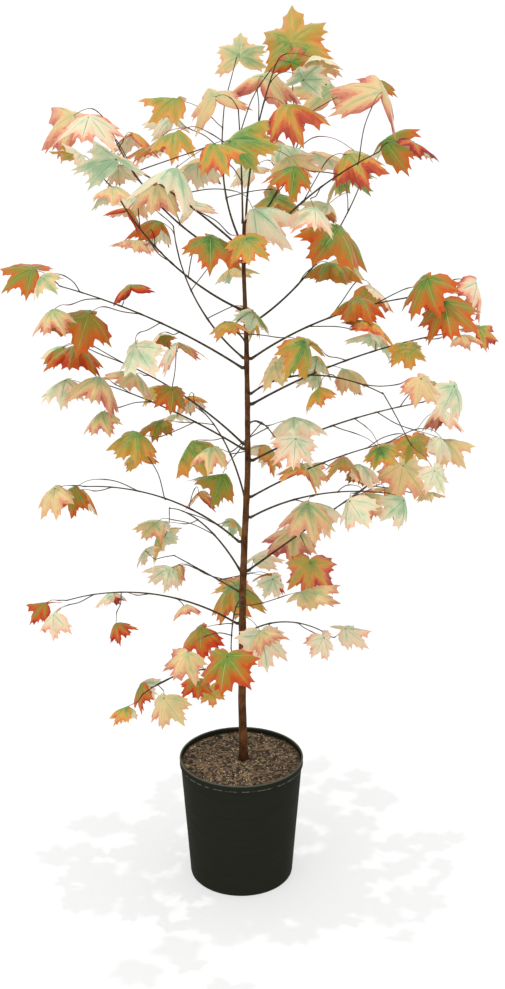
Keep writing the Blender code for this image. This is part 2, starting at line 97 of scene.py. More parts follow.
floor_finish, floor_tree, floor_shader = new_finish("studio_floor")
fill_inputs(floor_tree, floor_shader, {
    "Base Color": (FLOOR_GREY, FLOOR_GREY, FLOOR_GREY, 1.0),
    "Roughness": 0.9,
    "Specular IOR Level": 0.0,
    "Emission Color": WHITE,
    "Emission Strength": FLOOR_GLOW,
})
floor_mesh = bmesh.new()
bmesh.ops.create_grid(floor_mesh, x_segments=1, y_segments=1, size=FLOOR_SIZE)
piece_from("studio_floor", floor_mesh, [floor_finish])

surround = bpy.data.worlds.new("white_surround")
surround.use_nodes = True
sky = surround.node_tree.nodes["Background"]
fill_inputs(surround.node_tree, sky, {"Color": WHITE, "Strength": SURROUND})
bpy.context.scene.world = surround
bpy.context.scene.view_settings.view_transform = "Standard"

noon = bpy.data.lights.new("noon", "SUN")
noon.energy = NOON_STRENGTH
noon.angle = math.radians(NOON_WIDTH)
bpy.context.scene.collection.objects.link(bpy.data.objects.new("noon", noon))

key = bpy.data.lights.new("key", "AREA")
key.size = KEY_SIZE
key.energy = KEY_WATTS
key_stand = bpy.data.objects.new("key", key)
key_stand.location = KEY_PLACE
key_stand.rotation_euler = (Vector(KEY_AIM) - Vector(KEY_PLACE)).to_track_quat("-Z", "Y").to_euler()
bpy.context.scene.collection.objects.link(key_stand)

camera_data = bpy.data.cameras.new("camera")
camera_data.lens = LENS
camera = bpy.data.objects.new("camera", camera_data)
camera.location = CAMERA_PLACE
camera.rotation_euler = (math.radians(90 - CAMERA_PITCH), 0, 0)
bpy.context.scene.collection.objects.link(camera)
bpy.context.scene.camera = camera


# The pot is a thin round tub blown from black-green polyethylene, a little wider at its mouth.
# Its rim is rolled over into a lip, its heel is rounded, and its skin is satin with faint flow
# lines and a trace of dried mix. A painted highlight lightens the rim's top edge, and a painted
# highlight line, broken into pale dashes, runs round near the lip's foot.
POT_HEIGHT = 0.301
POT_RIM_RADIUS = 0.1442
POT_BASE_RADIUS = 0.1206
POT_WALL = 0.0025
POT_FLOOR = 0.004
POT_SIDES = 128
LIP_DEPTH = 0.017
LIP_OVERHANG = 0.0016
POT_WOBBLE = 0.0004
FIRM_BASE_RADIUS = 0.05
FULL_WOBBLE_HEIGHT = 0.1
# The line near the lip's foot is a painted highlight: its height, and the widths of its core and soft edge.
HIGHLIGHT_LINE_HEIGHT = 0.0022
HIGHLIGHT_LINE_CORE = 0.0005
HIGHLIGHT_LINE_EDGE = 0.0012
# The rim's top edge is lightened with a painted highlight between these heights.
RIM_HIGHLIGHT_FROM = POT_HEIGHT - 0.0034
RIM_HIGHLIGHT_FULL = POT_HEIGHT - 0.0006


def add_node(tree, kind, inputs, **options):
    """A node with its options set and its inputs filled."""
    made = tree.nodes.new(kind)
    for option, value in options.items():
        setattr(made, option, value)
    fill_inputs(tree, made, inputs)
    return made


def screen_colour(code):
    """A colour from its six-figure screen code, as a shader takes it."""
    parts = [int(code[place:place + 2], 16) / 255 for place in (0, 2, 4)]
    return (*[part / 12.92 if part <= 0.04045 else ((part + 0.055) / 1.055) ** 2.4 for part in parts], 1.0)


def own_place(tree):
    """The coordinates of a piece itself."""
    return add_node(tree, "ShaderNodeTexCoord", {}).outputs["Object"]


def height_of(tree, place):
    """The height of a place over the floor."""
    return add_node(tree, "ShaderNodeSeparateXYZ", {"Vector": place}).outputs["Z"]


def stretched(tree, place, scale):
    """Coordinates scaled by a factor on each axis."""
    return add_node(tree, "ShaderNodeMapping", {"Vector": place, "Scale": scale}).outputs[0]


def noise_at(tree, place, scale, detail, roughness=0.5):
    """Cloudy noise from about 0 to 1."""
    return add_node(tree, "ShaderNodeTexNoise", {"Vector": place, "Scale": scale, "Detail": detail,
                                                 "Roughness": roughness}).outputs["Fac"]


def worked_out(tree, operation, *values):
    """The result of a sum on one or two values."""
    return add_node(tree, "ShaderNodeMath", dict(enumerate(values)), operation=operation).outputs[0]


def ranged(tree, value, low, high, first=0.0, last=1.0):
    """A value carried from one range over to another, and held at its ends."""
    return add_node(tree, "ShaderNodeMapRange", {"Value": value, "From Min": low, "From Max": high,
                                                 "To Min": first, "To Max": last}).outputs[0]


def ramp_of(tree, share, *stops):
    """The colour at a share, from stops that are each a place and a screen code."""
    made = add_node(tree, "ShaderNodeValToRGB", {"Fac": share})
    marks = made.color_ramp.elements
    for spot, _ in stops[1:-1]:
        marks.new(spot)
    for mark, (spot, code) in zip(marks, stops):
        mark.position = spot
        mark.color = screen_colour(code)
    return made.outputs["Color"]


def tinted(tree, share, colour, code):
    """A colour with a second one laid over it by a share."""
    return add_node(tree, "ShaderNodeMixRGB", {"Fac": share, "Color1": colour,
                                               "Color2": screen_colour(code)}).outputs["Color"]


def relief_of(tree, height, strength, distance, below=None):
    """Fine relief from a height, laid over another relief where there is one."""
    bump = add_node(tree, "ShaderNodeBump", {"Height": height, "Strength": strength, "Distance": distance})
    if below is not None:
        tree.links.new(below, bump.inputs["Normal"])
    return bump.outputs["Normal"]


def pot_outer_radius(height):
    """The wall's outside leans out evenly from the base to the lip."""
    return POT_BASE_RADIUS + (POT_RIM_RADIUS - LIP_OVERHANG - POT_BASE_RADIUS) * height / POT_HEIGHT


def turned_mesh(profile, sides):
    """A shape turned round the pot's axis from points of radius and height, closed at its poles."""
    mesh = bmesh.new()
    line = [mesh.verts.new((radius, 0.0, height)) for radius, height in profile]
    edges = [mesh.edges.new(pair) for pair in zip(line, line[1:])]
    bmesh.ops.spin(mesh, geom=line + edges, cent=(0, 0, 0), axis=(0, 0, 1), angle=2 * math.pi,
                   steps=sides, use_merge=True)
    bmesh.ops.remove_doubles(mesh, verts=mesh.verts, dist=0.00001)
    bmesh.ops.recalc_face_normals(mesh, faces=mesh.faces)
    for face in mesh.faces:
        face.smooth = True
    return mesh


lip_foot = POT_HEIGHT - LIP_DEPTH
mouth = pot_outer_radius(POT_HEIGHT) - POT_WALL
wall_heights = [0.012, 0.03, 0.06, 0.1, 0.14, 0.18, 0.22, 0.26, lip_foot - 0.003]
pot_profile = [
    (0.0, 0.0015),
    (0.090, 0.0015),
    (0.098, 0.0),
    (POT_BASE_RADIUS - 0.0045, 0.0),
    (POT_BASE_RADIUS - 0.0018, 0.0007),
    (POT_BASE_RADIUS - 0.0004, 0.0025),
    (pot_outer_radius(0.006), 0.006),
    *[(pot_outer_radius(height), height) for height in wall_heights],
    (pot_outer_radius(lip_foot) - 0.0002, lip_foot - 0.0008),
    (pot_outer_radius(lip_foot) + 0.0006, lip_foot),
    (POT_RIM_RADIUS - 0.0007, lip_foot + 0.0002),
    (POT_RIM_RADIUS - 0.0001, lip_foot + 0.0010),
    (POT_RIM_RADIUS - 0.0001, lip_foot + 0.0026),
    (POT_RIM_RADIUS - 0.0006, lip_foot + 0.0038),
    (POT_RIM_RADIUS - 0.0003, POT_HEIGHT - 0.0040),
    (POT_RIM_RADIUS, POT_HEIGHT - 0.0022),
    (POT_RIM_RADIUS - 0.0006, POT_HEIGHT - 0.0008),
    (POT_RIM_RADIUS - 0.0020, POT_HEIGHT),
    (mouth + 0.0010, POT_HEIGHT - 0.0004),
    (mouth + 0.0001, POT_HEIGHT - 0.0018),
    (mouth - 0.0001, POT_HEIGHT - 0.0060),
    (pot_outer_radius(0.2) - POT_WALL, 0.2),
    (pot_outer_radius(POT_FLOOR) - POT_WALL, POT_FLOOR),
    (0.0, POT_FLOOR),
]
pot_mesh = turned_mesh(pot_profile, POT_SIDES)
for vert in pot_mesh.verts:
    if vert.co.xy.length > FIRM_BASE_RADIUS:
        out = Vector((vert.co.x, vert.co.y, 0.0)).normalized()
        waver = noise.noise(out * 1.3) + 0.4 * noise.noise(Vector((out.x * 2.1, out.y * 2.1, vert.co.z * 9)))
        vert.co -= out * POT_WOBBLE * (1 + waver) * min(vert.co.z / FULL_WOBBLE_HEIGHT, 1.0)

pot_finish, tree, shader = new_finish("black_green_polyethylene")
place = own_place(tree)
height = height_of(tree, place)
flow = noise_at(tree, stretched(tree, place, (3.0, 3.0, 60.0)), scale=6.0, detail=4.0)
dust = noise_at(tree, place, scale=38.0, detail=8.0, roughness=0.72)
skin = noise_at(tree, place, scale=900.0, detail=2.0)
# This noise breaks the painted highlight line near the lip's foot into pale dashes.
highlight_dashes = noise_at(tree, place, scale=120.0, detail=3.0)
off_line = worked_out(tree, "ABSOLUTE", worked_out(tree, "SUBTRACT", height, lip_foot + HIGHLIGHT_LINE_HEIGHT))
near_line = ranged(tree, off_line, HIGHLIGHT_LINE_CORE, HIGHLIGHT_LINE_EDGE, 1.0, 0.0)
line = worked_out(tree, "MULTIPLY", near_line, ranged(tree, highlight_dashes, 0.44, 0.56))
colour = ramp_of(tree, flow, (0.0, "1c1e18"), (1.0, "282a22"))
colour = tinted(tree, ranged(tree, dust, 0.62, 0.78, 0.0, 0.5), colour, "2e3024")
# Painted highlight: the rim's top edge is tinted lighter.
colour = tinted(tree, ranged(tree, height, RIM_HIGHLIGHT_FROM, RIM_HIGHLIGHT_FULL), colour, "5d5f52")
ripple = relief_of(tree, flow, strength=0.25, distance=0.0006)
# The pale dashed line laid into the base colour is a painted highlight near the lip's foot.
fill_inputs(tree, shader, {
    "Base Color": tinted(tree, line, colour, "5e655f"),
    "Roughness": ranged(tree, dust, 0.3, 0.8, 0.45, 0.65),
    "Specular IOR Level": 0.01,
    "Normal": relief_of(tree, skin, strength=0.2, distance=0.0002, below=ripple),
})

pot = piece_from("pot_shell", pot_mesh, [pot_finish])
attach(pot, "root")
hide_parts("pot")


# The mix is composted bark and peat, pressed down a centimetre under the rim and a little higher
# round the trunk. Its top is crumbs, and chips of bark, straw and pale grit lie loose on it.
MIX_BELOW_RIM = 0.0115
MIX_DOME = 0.003
CLEAR = 0.0003
MIX_RINGS = 46
MIX_SIDES = 190
MIX_MIDDLE_HEIGHT = 0.14
CRUMB = 0.0016
CRUMB_SIZES = ((0.7, 55), (0.9, 160), (0.6, 420))
CRUMB_MIDDLE = 0.45
CHIPS = (
    # finish, colour, how many, length, width, thickness
    ("bark_chip", "7d6448", 560, (0.005, 0.013), (0.0022, 0.0046), (0.0008, 0.0022)),
    ("straw_chip", "b09a76", 320, (0.006, 0.014), (0.0010, 0.0019), (0.0004, 0.0009)),
    ("pale_grit", "d8cfba", 60, (0.0016, 0.0034), (0.0012, 0.0026), (0.0008, 0.0016)),
    ("dark_chip", "2a1e14", 440, (0.004, 0.011), (0.0020, 0.0044), (0.0008, 0.0020)),
)
CHIP_SEED = 31
CHIP_AREA = (0.016, 1.0)
CHIP_FROM_WALL = 0.007
CHIP_TILT = (-0.35, 0.35)
CHIP_WARP = (-0.0004, 0.0004)
CHIP_LIFT = 0.0003
MIX_EDGE_HEIGHT = POT_HEIGHT - MIX_BELOW_RIM
MIX_RADIUS = pot_outer_radius(MIX_EDGE_HEIGHT) - POT_WALL - CLEAR


def mix_height(x, y):
    """The height of the mix's crumbly top, level round the trunk and lower at the wall."""
    from_middle = math.hypot(x, y) / MIX_RADIUS
    dome = MIX_DOME * min(1.0, 1.25 * (1 - from_middle))
    at = Vector((x, y, 0.0))
    lumps = sum(height * noise.noise(at * scale) for height, scale in CRUMB_SIZES)
    return MIX_EDGE_HEIGHT + dome + CRUMB * (lumps - CRUMB_MIDDLE)


mix_top = [(MIX_RADIUS * ring / MIX_RINGS, MIX_EDGE_HEIGHT) for ring in range(MIX_RINGS + 1)]
mix_mesh = turned_mesh([*mix_top, (pot_outer_radius(MIX_MIDDLE_HEIGHT) - POT_WALL - CLEAR, MIX_MIDDLE_HEIGHT),
                        (pot_outer_radius(POT_FLOOR) - POT_WALL - CLEAR, POT_FLOOR + CLEAR),
                        (0.0, POT_FLOOR + CLEAR)], MIX_SIDES)
for vert in mix_mesh.verts:
    if vert.co.z > MIX_EDGE_HEIGHT - 0.0001:
        vert.co.z = mix_height(vert.co.x, vert.co.y)

mix_finish, tree, shader = new_finish("bark_and_peat_mix")
place = own_place(tree)
crumbs = noise_at(tree, place, scale=420.0, detail=6.0, roughness=0.7)
patches = noise_at(tree, place, scale=24.0, detail=3.0)
earth = ranged(tree, worked_out(tree, "ADD", crumbs, patches), 0.72, 1.3)
fill_inputs(tree, shader, {
    "Base Color": ramp_of(tree, earth, (0.0, "1d150d"), (0.45, "453523"), (1.0, "94795a")),
    "Roughness": ranged(tree, patches, 0.3, 0.7, 0.78, 0.95),
    "Normal": relief_of(tree, crumbs, strength=0.9, distance=0.0015),
})

mix = piece_from("potting_mix_fill", mix_mesh, [mix_finish])
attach(mix, "root")
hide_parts("potting_mix")


def grained_finish(name, code, roughness, scale, detail, strength, distance):
    """A finish of one colour with a fine grain in relief."""
    material, tree, shader = new_finish(name)
    grain = noise_at(tree, own_place(tree), scale, detail)
    fill_inputs(tree, shader, {
        "Base Color": screen_colour(code),
        "Roughness": roughness,
        "Normal": relief_of(tree, grain, strength, distance),
    })
    return material


chip_finishes = [grained_finish(name, code, roughness=0.85, scale=1200.0, detail=3.0, strength=0.5,
                                distance=0.0004) for name, code, *_ in CHIPS]
chip_mesh = bmesh.new()
chip_draw = random.Random(CHIP_SEED)
for number, (_, _, count, lengths, widths, depths) in enumerate(CHIPS):
    for _ in range(count):
        angle = chip_draw.uniform(0, 2 * math.pi)
        radius = (MIX_RADIUS - CHIP_FROM_WALL) * math.sqrt(chip_draw.uniform(*CHIP_AREA))
        x, y = radius * math.cos(angle), radius * math.sin(angle)
        size = Matrix.Diagonal((*[chip_draw.uniform(*span) for span in (lengths, widths, depths)], 1.0))
        lie = (Matrix.Rotation(chip_draw.uniform(0, 2 * math.pi), 4, "Z")
               @ Matrix.Rotation(chip_draw.uniform(*CHIP_TILT), 4, "Y")
               @ Matrix.Rotation(chip_draw.uniform(*CHIP_TILT), 4, "X"))
        spot = Matrix.Translation((x, y, mix_height(x, y) + CHIP_LIFT))
        corners = bmesh.ops.create_cube(chip_mesh, size=1.0, matrix=spot @ lie @ size)["verts"]
        for vert in corners:
            vert.co += Vector([chip_draw.uniform(*CHIP_WARP) for _ in range(3)])
        for face in {face for vert in corners for face in vert.link_faces}:
            face.material_index = number
chips = piece_from("loose_chips", chip_mesh, chip_finishes)
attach(chips, "root")


# The trunk is smooth young wood under thin red-brown bark, thickest where it enters the mix and
# tapering to the fork. It leans and bends a little, swells at each limb, and its bark has fine
# upright cracks, pale breathing pores and a ring of old scars at each joint.
FOOT_HEIGHT = POT_HEIGHT - MIX_BELOW_RIM + MIX_DOME + CLEAR
FORK_HEIGHT = 1.529
TRUNK_RADIUS_LOW = 0.0098
TRUNK_RADIUS_FORK = 0.0036
FLARE = 0.0026
FLARE_HEIGHT = 0.020
TRUNK_BEND = ((0.28, 0.005), (0.31, 0.005), (0.44, 0.002), (0.71, 0.004), (0.85, 0.009),
              (1.00, 0.016), (1.16, 0.015), (1.29, 0.013), (1.45, 0.007), (1.53, 0.009))
TRUNK_SIDES = 28
TRUNK_RINGS = 420
BEND_STEPS = 26
COLLAR_REACH = 0.011
COLLAR_SWELL = 0.0011
SCAR_SWELL = 0.25
CRACK_DEPTH = 0.00035
FINE_CRACKS = 0.6
DARK_FOOT_TOP = FOOT_HEIGHT + 0.045

Limb = namedtuple("Limb", "name height turn rise tip_rise sweep length scale tint seeds")

# The limbs from the lowest up: height on the trunk, turn, rise at the base and at the tip, sweep, length,
# scale of its leaves, main tint, and the seed of each spray from the bough's end to the tip
LIMBS = (
    Limb("low_left_front", 0.514, 215, 30, -18, 7, 0.268, 0.80, "orange",
         (200437, 300638, 300629, 300235, 201635)),
    Limb("low_right", 0.614, 345, 38, -25, -3, 0.190, 0.90, "gold",
         (41222, 200372, 200885)),
    Limb("low_left", 0.634, 176, 32, -18, 2, 0.400, 0.80, "red",
         (201735, 300497, 300187, 201611, 201929)),
    Limb("low_front", 0.699, 262, 19, -16, 8, 0.290, 0.90, "orange",
         (201906, 300395, 300276, 300323, 62055)),
    Limb("low_back_left", 0.709, 140, 12, 10, 0, 0.200, 0.85, "rose",
         (41202, 300335, 200282, 201936)),
    Limb("low_right_back", 0.759, 35, 22, 22, 0, 0.420, 0.90, "orange",
         (40880, 200147, 200489, 201284, 300381, 300555)),
    Limb("low_back", 0.759, 128, 39, -16, -7, 0.320, 0.85, "gold",
         (200067, 200355, 300182, 200041)),
    Limb("mid_left", 0.831, 188, 45, 4, 11, 0.380, 0.85, "gold",
         (300076, 201434, 300033, 61937, 300480)),
    Limb("mid_right_front", 0.889, 335, 34, 2, 0, 0.325, 0.85, "orange",
         (200207, 200396, 200480, 300661, 201717)),
    Limb("mid_back", 0.929, 108, 44, 6, 10, 0.335, 0.95, "gold",
         (300468, 300682, 200632, 300370, 300634)),
    Limb("mid_right", 0.934, 20, 24, 8, -2, 0.340, 0.90, "gold",
         (300395, 201845, 41572, 201505, 300517)),
    Limb("mid_right_long", 1.019, 350, 31, 13, 0, 0.392, 0.90, "orange",
         (300360, 300365, 201047, 300229, 300540, 200570)),
    Limb("mid_left_high", 1.044, 172, 31, 17, 0, 0.325, 0.80, "orange",
         (300421, 300690, 300157, 300340, 300530)),
    Limb("mid_left_back", 1.054, 150, 36, 12, 5, 0.395, 0.85, "orange",
         (300048, 300292, 300615, 40844, 201813)),
    Limb("mid_front", 1.104, 285, 25, -10, 0, 0.200, 0.85, "gold",
         (300644, 300506, 300264, 300153)),
    Limb("high_right", 1.144, 10, 28, 8, -1, 0.455, 0.85, "orange",
         (300487, 300274, 300351, 200401, 300272, 201412)),
    Limb("high_right_front", 1.169, 318, 38, -25, 28, 0.325, 0.85, "gold",
         (300588, 62064, 300015, 201775, 300020)),
    Limb("high_left", 1.224, 182, 34, 16, 0, 0.420, 0.85, "rose",
         (300510, 300590, 200175, 300399, 300157, 300234, 200674)),
    Limb("high_left_back", 1.244, 140, 26, 85, 14, 0.335, 0.98, "gold",
         (201829, 201380, 300097, 300552)),
    Limb("high_right_long", 1.244, 355, 36, 7, -1, 0.385, 1.08, "rose",
         (300258, 201611, 201228, 201424, 300392, 201012)),
    Limb("high_front", 1.284, 250, 35, 10, 0, 0.150, 0.98, "gold",
         (201210, 300569, 300564)),
    Limb("high_back", 1.314, 42, 19, 60, 0, 0.435, 1.15, "gold",
         (201228, 201392, 300591, 300227, 300467)),
    Limb("high_left_long", 1.349, 200, 27, 61, 2, 0.378, 0.98, "rose",
         (41439, 200443, 200143, 300015, 300624, 200455)),
    Limb("top_left", 1.449, 165, 21, 66, -6, 0.403, 0.98, "rose",
         (300139, 300207, 201723, 61850, 300468, 201093)),
    Limb("top_left_front", 1.479, 215, 40, 20, 30, 0.400, 1.08, "gold",
         (300217, 201681, 201921, 300434, 200452)),
    Limb("top_back", 1.484, 112, 30, 55, -30, 0.400, 1.15, "rose",
         (200994, 300481, 300269, 300563, 200139)),
    Limb("top_right_back", 1.494, 65, 21, 51, 0, 0.405, 1.15, "orange",
         (300477, 300094, 320948, 40312, 300531)),
    Limb("top_right_front", 1.449, 330, 52, 26, 4, 0.375, 1.08, "red",
         (41840, 300535, 300510, 300182, 300609, 60234)),
    Limb("leader_left", 1.530, 110, 88, 80, 2, 0.225, 1.15, "rose",
         (201895, 300446, 300143, 300230)),
    Limb("leader_right", 1.530, 10, 88, 70, -8, 0.320, 1.15, "orange",
         (300642, 201911, 300574, 300336, 300593, 300678)),
)


def heading(rise, turn):
    """The way that a limb points, as a unit vector."""
    up, around = math.radians(rise), math.radians(turn)
    return np.array([math.cos(up) * math.cos(around), math.cos(up) * math.sin(around), math.sin(up)])


def trunk_axis(height):
    """The middle of the trunk at a height."""
    heights, offsets = zip(*TRUNK_BEND)
    return np.array([np.interp(height, heights, offsets), 0.0, height])


def trunk_radius(height):
    """The trunk tapers to the fork, and flares where it enters the mix."""
    up = height - FOOT_HEIGHT
    share = up / (FORK_HEIGHT - FOOT_HEIGHT)
    taper = TRUNK_RADIUS_LOW + (TRUNK_RADIUS_FORK - TRUNK_RADIUS_LOW) * share
    return taper + FLARE * math.exp(-up / FLARE_HEIGHT)


def smooth_line(points, cuts):
    """An even curve through points, with a number of steps between each two."""
    points = np.array(points)
    padded = np.vstack([2 * points[0] - points[1], points, 2 * points[-1] - points[-2]])
    line = []
    for a, b, c, d in zip(padded, padded[1:], padded[2:], padded[3:]):
        for part in np.arange(cuts) / cuts:
            line.append(0.5 * (2 * b + (c - a) * part + (2 * a - 5 * b + 4 * c - d) * part ** 2
                               + (3 * b - a - 3 * c + d) * part ** 3))
    return np.array([*line, points[-1]])


def bent_rod(path, radii, sides):
    """A closed round rod bent along a path, with its own radius at each point of it."""
    mesh = bmesh.new()
    bmesh.ops.create_cone(mesh, cap_ends=True, segments=sides, radius1=1.0, radius2=1.0, depth=1.0)
    if len(path) > 2:
        long_edges = [edge for edge in mesh.edges if abs(edge.verts[0].co.z - edge.verts[1].co.z) > 0.5]
        bmesh.ops.subdivide_edges(mesh, edges=long_edges, cuts=len(path) - 2, use_grid_fill=True)
    points = [Vector(point) for point in path]
    ways = [(end - start).normalized() for start, end in zip(points, points[1:])]
    facings = [ways[0], *[(a + b).normalized() for a, b in zip(ways, ways[1:])], ways[-1]]
    across = facings[0].orthogonal().normalized()
    frames = []
    for before, facing in zip([facings[0], *facings], facings):
        across = before.rotation_difference(facing) @ across
        frames.append((across, facing.cross(across)))
    for vert in mesh.verts:
        step = round((vert.co.z + 0.5) * (len(points) - 1))
        side, back = frames[step]
        vert.co = points[step] + (side * vert.co.x + back * vert.co.y) * radii[step]
    for face in mesh.faces:
        face.smooth = len(face.verts) == 4
    return mesh


trunk_heights = np.linspace(FOOT_HEIGHT - 0.0022, FORK_HEIGHT, TRUNK_RINGS)
bend_heights = np.linspace(FOOT_HEIGHT, FORK_HEIGHT, BEND_STEPS)
bend_line = smooth_line([trunk_axis(height) for height in bend_heights], 1)
trunk_line = [(np.interp(height, bend_line[:, 2], bend_line[:, 0]), 0.0, height) for height in trunk_heights]
trunk_radii = [trunk_radius(max(height, FOOT_HEIGHT)) for height in trunk_heights]
trunk_mesh = bent_rod(trunk_line, trunk_radii, TRUNK_SIDES)
for vert in trunk_mesh.verts:
    middle = Vector((np.interp(vert.co.z, bend_line[:, 2], bend_line[:, 0]), 0.0, vert.co.z))
    out = (vert.co - middle).normalized()
    swell = 0.0
    for limb in LIMBS:
        off_joint = (vert.co.z - limb.height) / COLLAR_REACH
        if abs(off_joint) < 3:
            facing_limb = max(out.dot(Vector(heading(0, limb.turn))), -0.2)
            collar = COLLAR_SWELL * trunk_radius(limb.height) / TRUNK_RADIUS_LOW
            swell += collar * math.exp(-off_joint ** 2) * (0.3 + facing_limb)
            swell += SCAR_SWELL * collar * math.exp(-(off_joint * 4) ** 2)
    cracks = noise.noise(Vector((out.x * 3.2, out.y * 3.2, vert.co.z * 22)))
    cracks += FINE_CRACKS * noise.noise(Vector((out.x * 7, out.y * 7, vert.co.z * 60)))
    if vert.co.z < FORK_HEIGHT - 0.002:
        vert.co += out * (swell + CRACK_DEPTH * cracks)

bark_finish, tree, shader = new_finish("red_brown_bark")
place = own_place(tree)
upright = stretched(tree, place, (1.0, 1.0, 0.16))
streaks = noise_at(tree, upright, scale=420.0, detail=6.0, roughness=0.65)
mottle = noise_at(tree, place, scale=34.0, detail=5.0)
flat_place = stretched(tree, place, (1.0, 1.0, 3.4))
pores = add_node(tree, "ShaderNodeTexVoronoi", {"Vector": flat_place, "Scale": 230.0}).outputs["Distance"]
pore_mask = ranged(tree, pores, 0.10, 0.18, 0.4, 0.0)
wood = ranged(tree, worked_out(tree, "ADD", streaks, mottle), 0.7, 1.35)
colour = ramp_of(tree, wood, (0.0, "29170b"), (0.5, "5c3a20"), (1.0, "7f5735"))
colour = tinted(tree, pore_mask, colour, "7d6548")
# The bark is tinted darker towards its foot, over its lowest 4.5 cm above the mix.
near_mix = ranged(tree, height_of(tree, place), FOOT_HEIGHT, DARK_FOOT_TOP, 0.75, 0.0)
cracked = relief_of(tree, streaks, strength=0.7, distance=0.0006)
fill_inputs(tree, shader, {
    "Base Color": tinted(tree, near_mix, colour, "2b170c"),
    "Roughness": ranged(tree, streaks, 0.3, 0.7, 0.55, 0.8),
    "Specular IOR Level": 0.05,
    "Normal": relief_of(tree, pore_mask, strength=0.5, distance=0.0003, below=cracked),
})

trunk = piece_from("trunk_bark", trunk_mesh, [bark_finish])
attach(trunk, "root")
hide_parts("trunk")


# A limb is one slim shoot from the trunk to its tip. Its first third is the bough, and the rest
# carries twigs and leaves. The bark is thinner and darker than the trunk's, olive where it is
# young, and it swells at its foot and at every twig.
LIMB_STEPS = 9
BOUGH_STEPS = 3
SHORTEST_BOUGHED = 0.21
LIMB_SIDES = 8
LIMB_CUTS = 5
COLLAR = 0.005
SUNK = 0.003
LIMB_TIP_RADIUS = 0.0012
LIMB_BASE_RADIUS = 0.0016
RADIUS_PER_LENGTH = 0.0024
LEADER_OFFSET = 0.0031
JOINT_SWELL = 0.32
JOINT_REACH = 0.0045
FOOT_SWELL = 0.45
FOOT_REACH = 0.007
FIRST_SPRAY = 0.30
SPRAY_PAST_BOUGH = 0.03


def limb_path(start, rise, tip_rise, turn, sweep, length, steps):
    """Points along a limb that bends evenly from one rise to the other while it turns by its sweep."""
    points = [np.asarray(start, float)]
    for step in range(steps):
        part = (step + 0.5) / steps
        way = heading(rise + (tip_rise - rise) * part, turn + sweep * part)
        points.append(points[-1] + way * length / steps)
    return np.array(points)


def limb_root(limb):
    """Where a limb leaves the trunk: on the trunk's side, or on top of the fork for a leader."""
    if limb.height > FORK_HEIGHT:
        side = LEADER_OFFSET * math.copysign(1, math.cos(math.radians(limb.turn)))
        return trunk_axis(FORK_HEIGHT) + np.array([side, 0.0, CLEAR])
    return trunk_axis(limb.height) + heading(0, limb.turn) * (trunk_radius(limb.height) + CLEAR)


def whole_limb(limb):
    """The line of a limb from the end of its collar to its tip."""
    start = limb_root(limb)
    if limb.height <= FORK_HEIGHT:
        start = start + heading(0, limb.turn) * COLLAR
    return limb_path(start, limb.rise, limb.tip_rise, limb.turn, limb.sweep, limb.length, LIMB_STEPS)


def limb_radius(limb, share):
    """A limb tapers evenly from its base to its tip."""
    base = LIMB_BASE_RADIUS + RADIUS_PER_LENGTH * limb.length
    return base + (LIMB_TIP_RADIUS - base) * share


def foliage_start(limb):
    """The step of a limb at which its mass of foliage begins: a short limb has no bough of its own."""
    return BOUGH_STEPS if limb.length > SHORTEST_BOUGHED else 0


def spray_shares(limb):
    """Where along a limb its sprays grow: evenly from the start of its foliage to its tip."""
    first = max(foliage_start(limb) / LIMB_STEPS + SPRAY_PAST_BOUGH, FIRST_SPRAY)
    return np.linspace(first, 1.0, len(limb.seeds))


def point_at(path, share):
    """The point at a share of a limb's line."""
    place = share * (len(path) - 1)
    step = min(int(place), len(path) - 2)
    return path[step] + (path[step + 1] - path[step]) * (place - step)


def add_mesh(whole, part, number=0):
    """Adds a finished part to the mesh that it is joined in, all of one finish unless that is None."""
    if number is not None:
        for face in part.faces:
            face.material_index = number
    held = bpy.data.meshes.new("held")
    part.to_mesh(held)
    part.free()
    whole.from_mesh(held)
    bpy.data.meshes.remove(held)


def limb_wood(limb, first, last):
    """The rod of a limb between two of its steps, with its joints swollen."""
    line = smooth_line(whole_limb(limb), LIMB_CUTS)[first * LIMB_CUTS:last * LIMB_CUTS + 1]
    shares = np.linspace(first / LIMB_STEPS, last / LIMB_STEPS, len(line))
    along = shares * limb.length
    radii = np.array([limb_radius(limb, share) for share in shares])
    for share in spray_shares(limb):
        radii *= 1 + JOINT_SWELL * np.exp(-((along - share * limb.length) / JOINT_REACH) ** 2)
    if first == 0:
        radii *= 1 + FOOT_SWELL * np.exp(-(along / FOOT_REACH) ** 2)
        inward = heading(0, limb.turn) if limb.height <= FORK_HEIGHT else np.array([0.0, 0.0, 1.0])
        line = np.vstack([limb_root(limb) - inward * SUNK * 0.6, line])
        radii = np.concatenate([[radii[0] * 1.1], radii])
    return bent_rod(line, radii, LIMB_SIDES)


shoot_finish, tree, shader = new_finish("olive_brown_shoot")
place = own_place(tree)
mottle = noise_at(tree, place, scale=90.0, detail=5.0)
fine = noise_at(tree, place, scale=700.0, detail=3.0)
fill_inputs(tree, shader, {
    "Base Color": ramp_of(tree, mottle, (0.3, "2c2319"), (0.75, "57482f")),
    "Roughness": 0.6,
    "Specular IOR Level": 0.15,
    "Normal": relief_of(tree, fine, strength=0.35, distance=0.0003),
})

bough_wood = bmesh.new()
for limb in LIMBS:
    if foliage_start(limb):
        add_mesh(bough_wood, limb_wood(limb, 0, BOUGH_STEPS))
boughs = piece_from("bough_wood", bough_wood, [shoot_finish])
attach(boughs, "root")
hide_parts(*["bough_" + limb.name for limb in LIMBS if foliage_start(limb)])


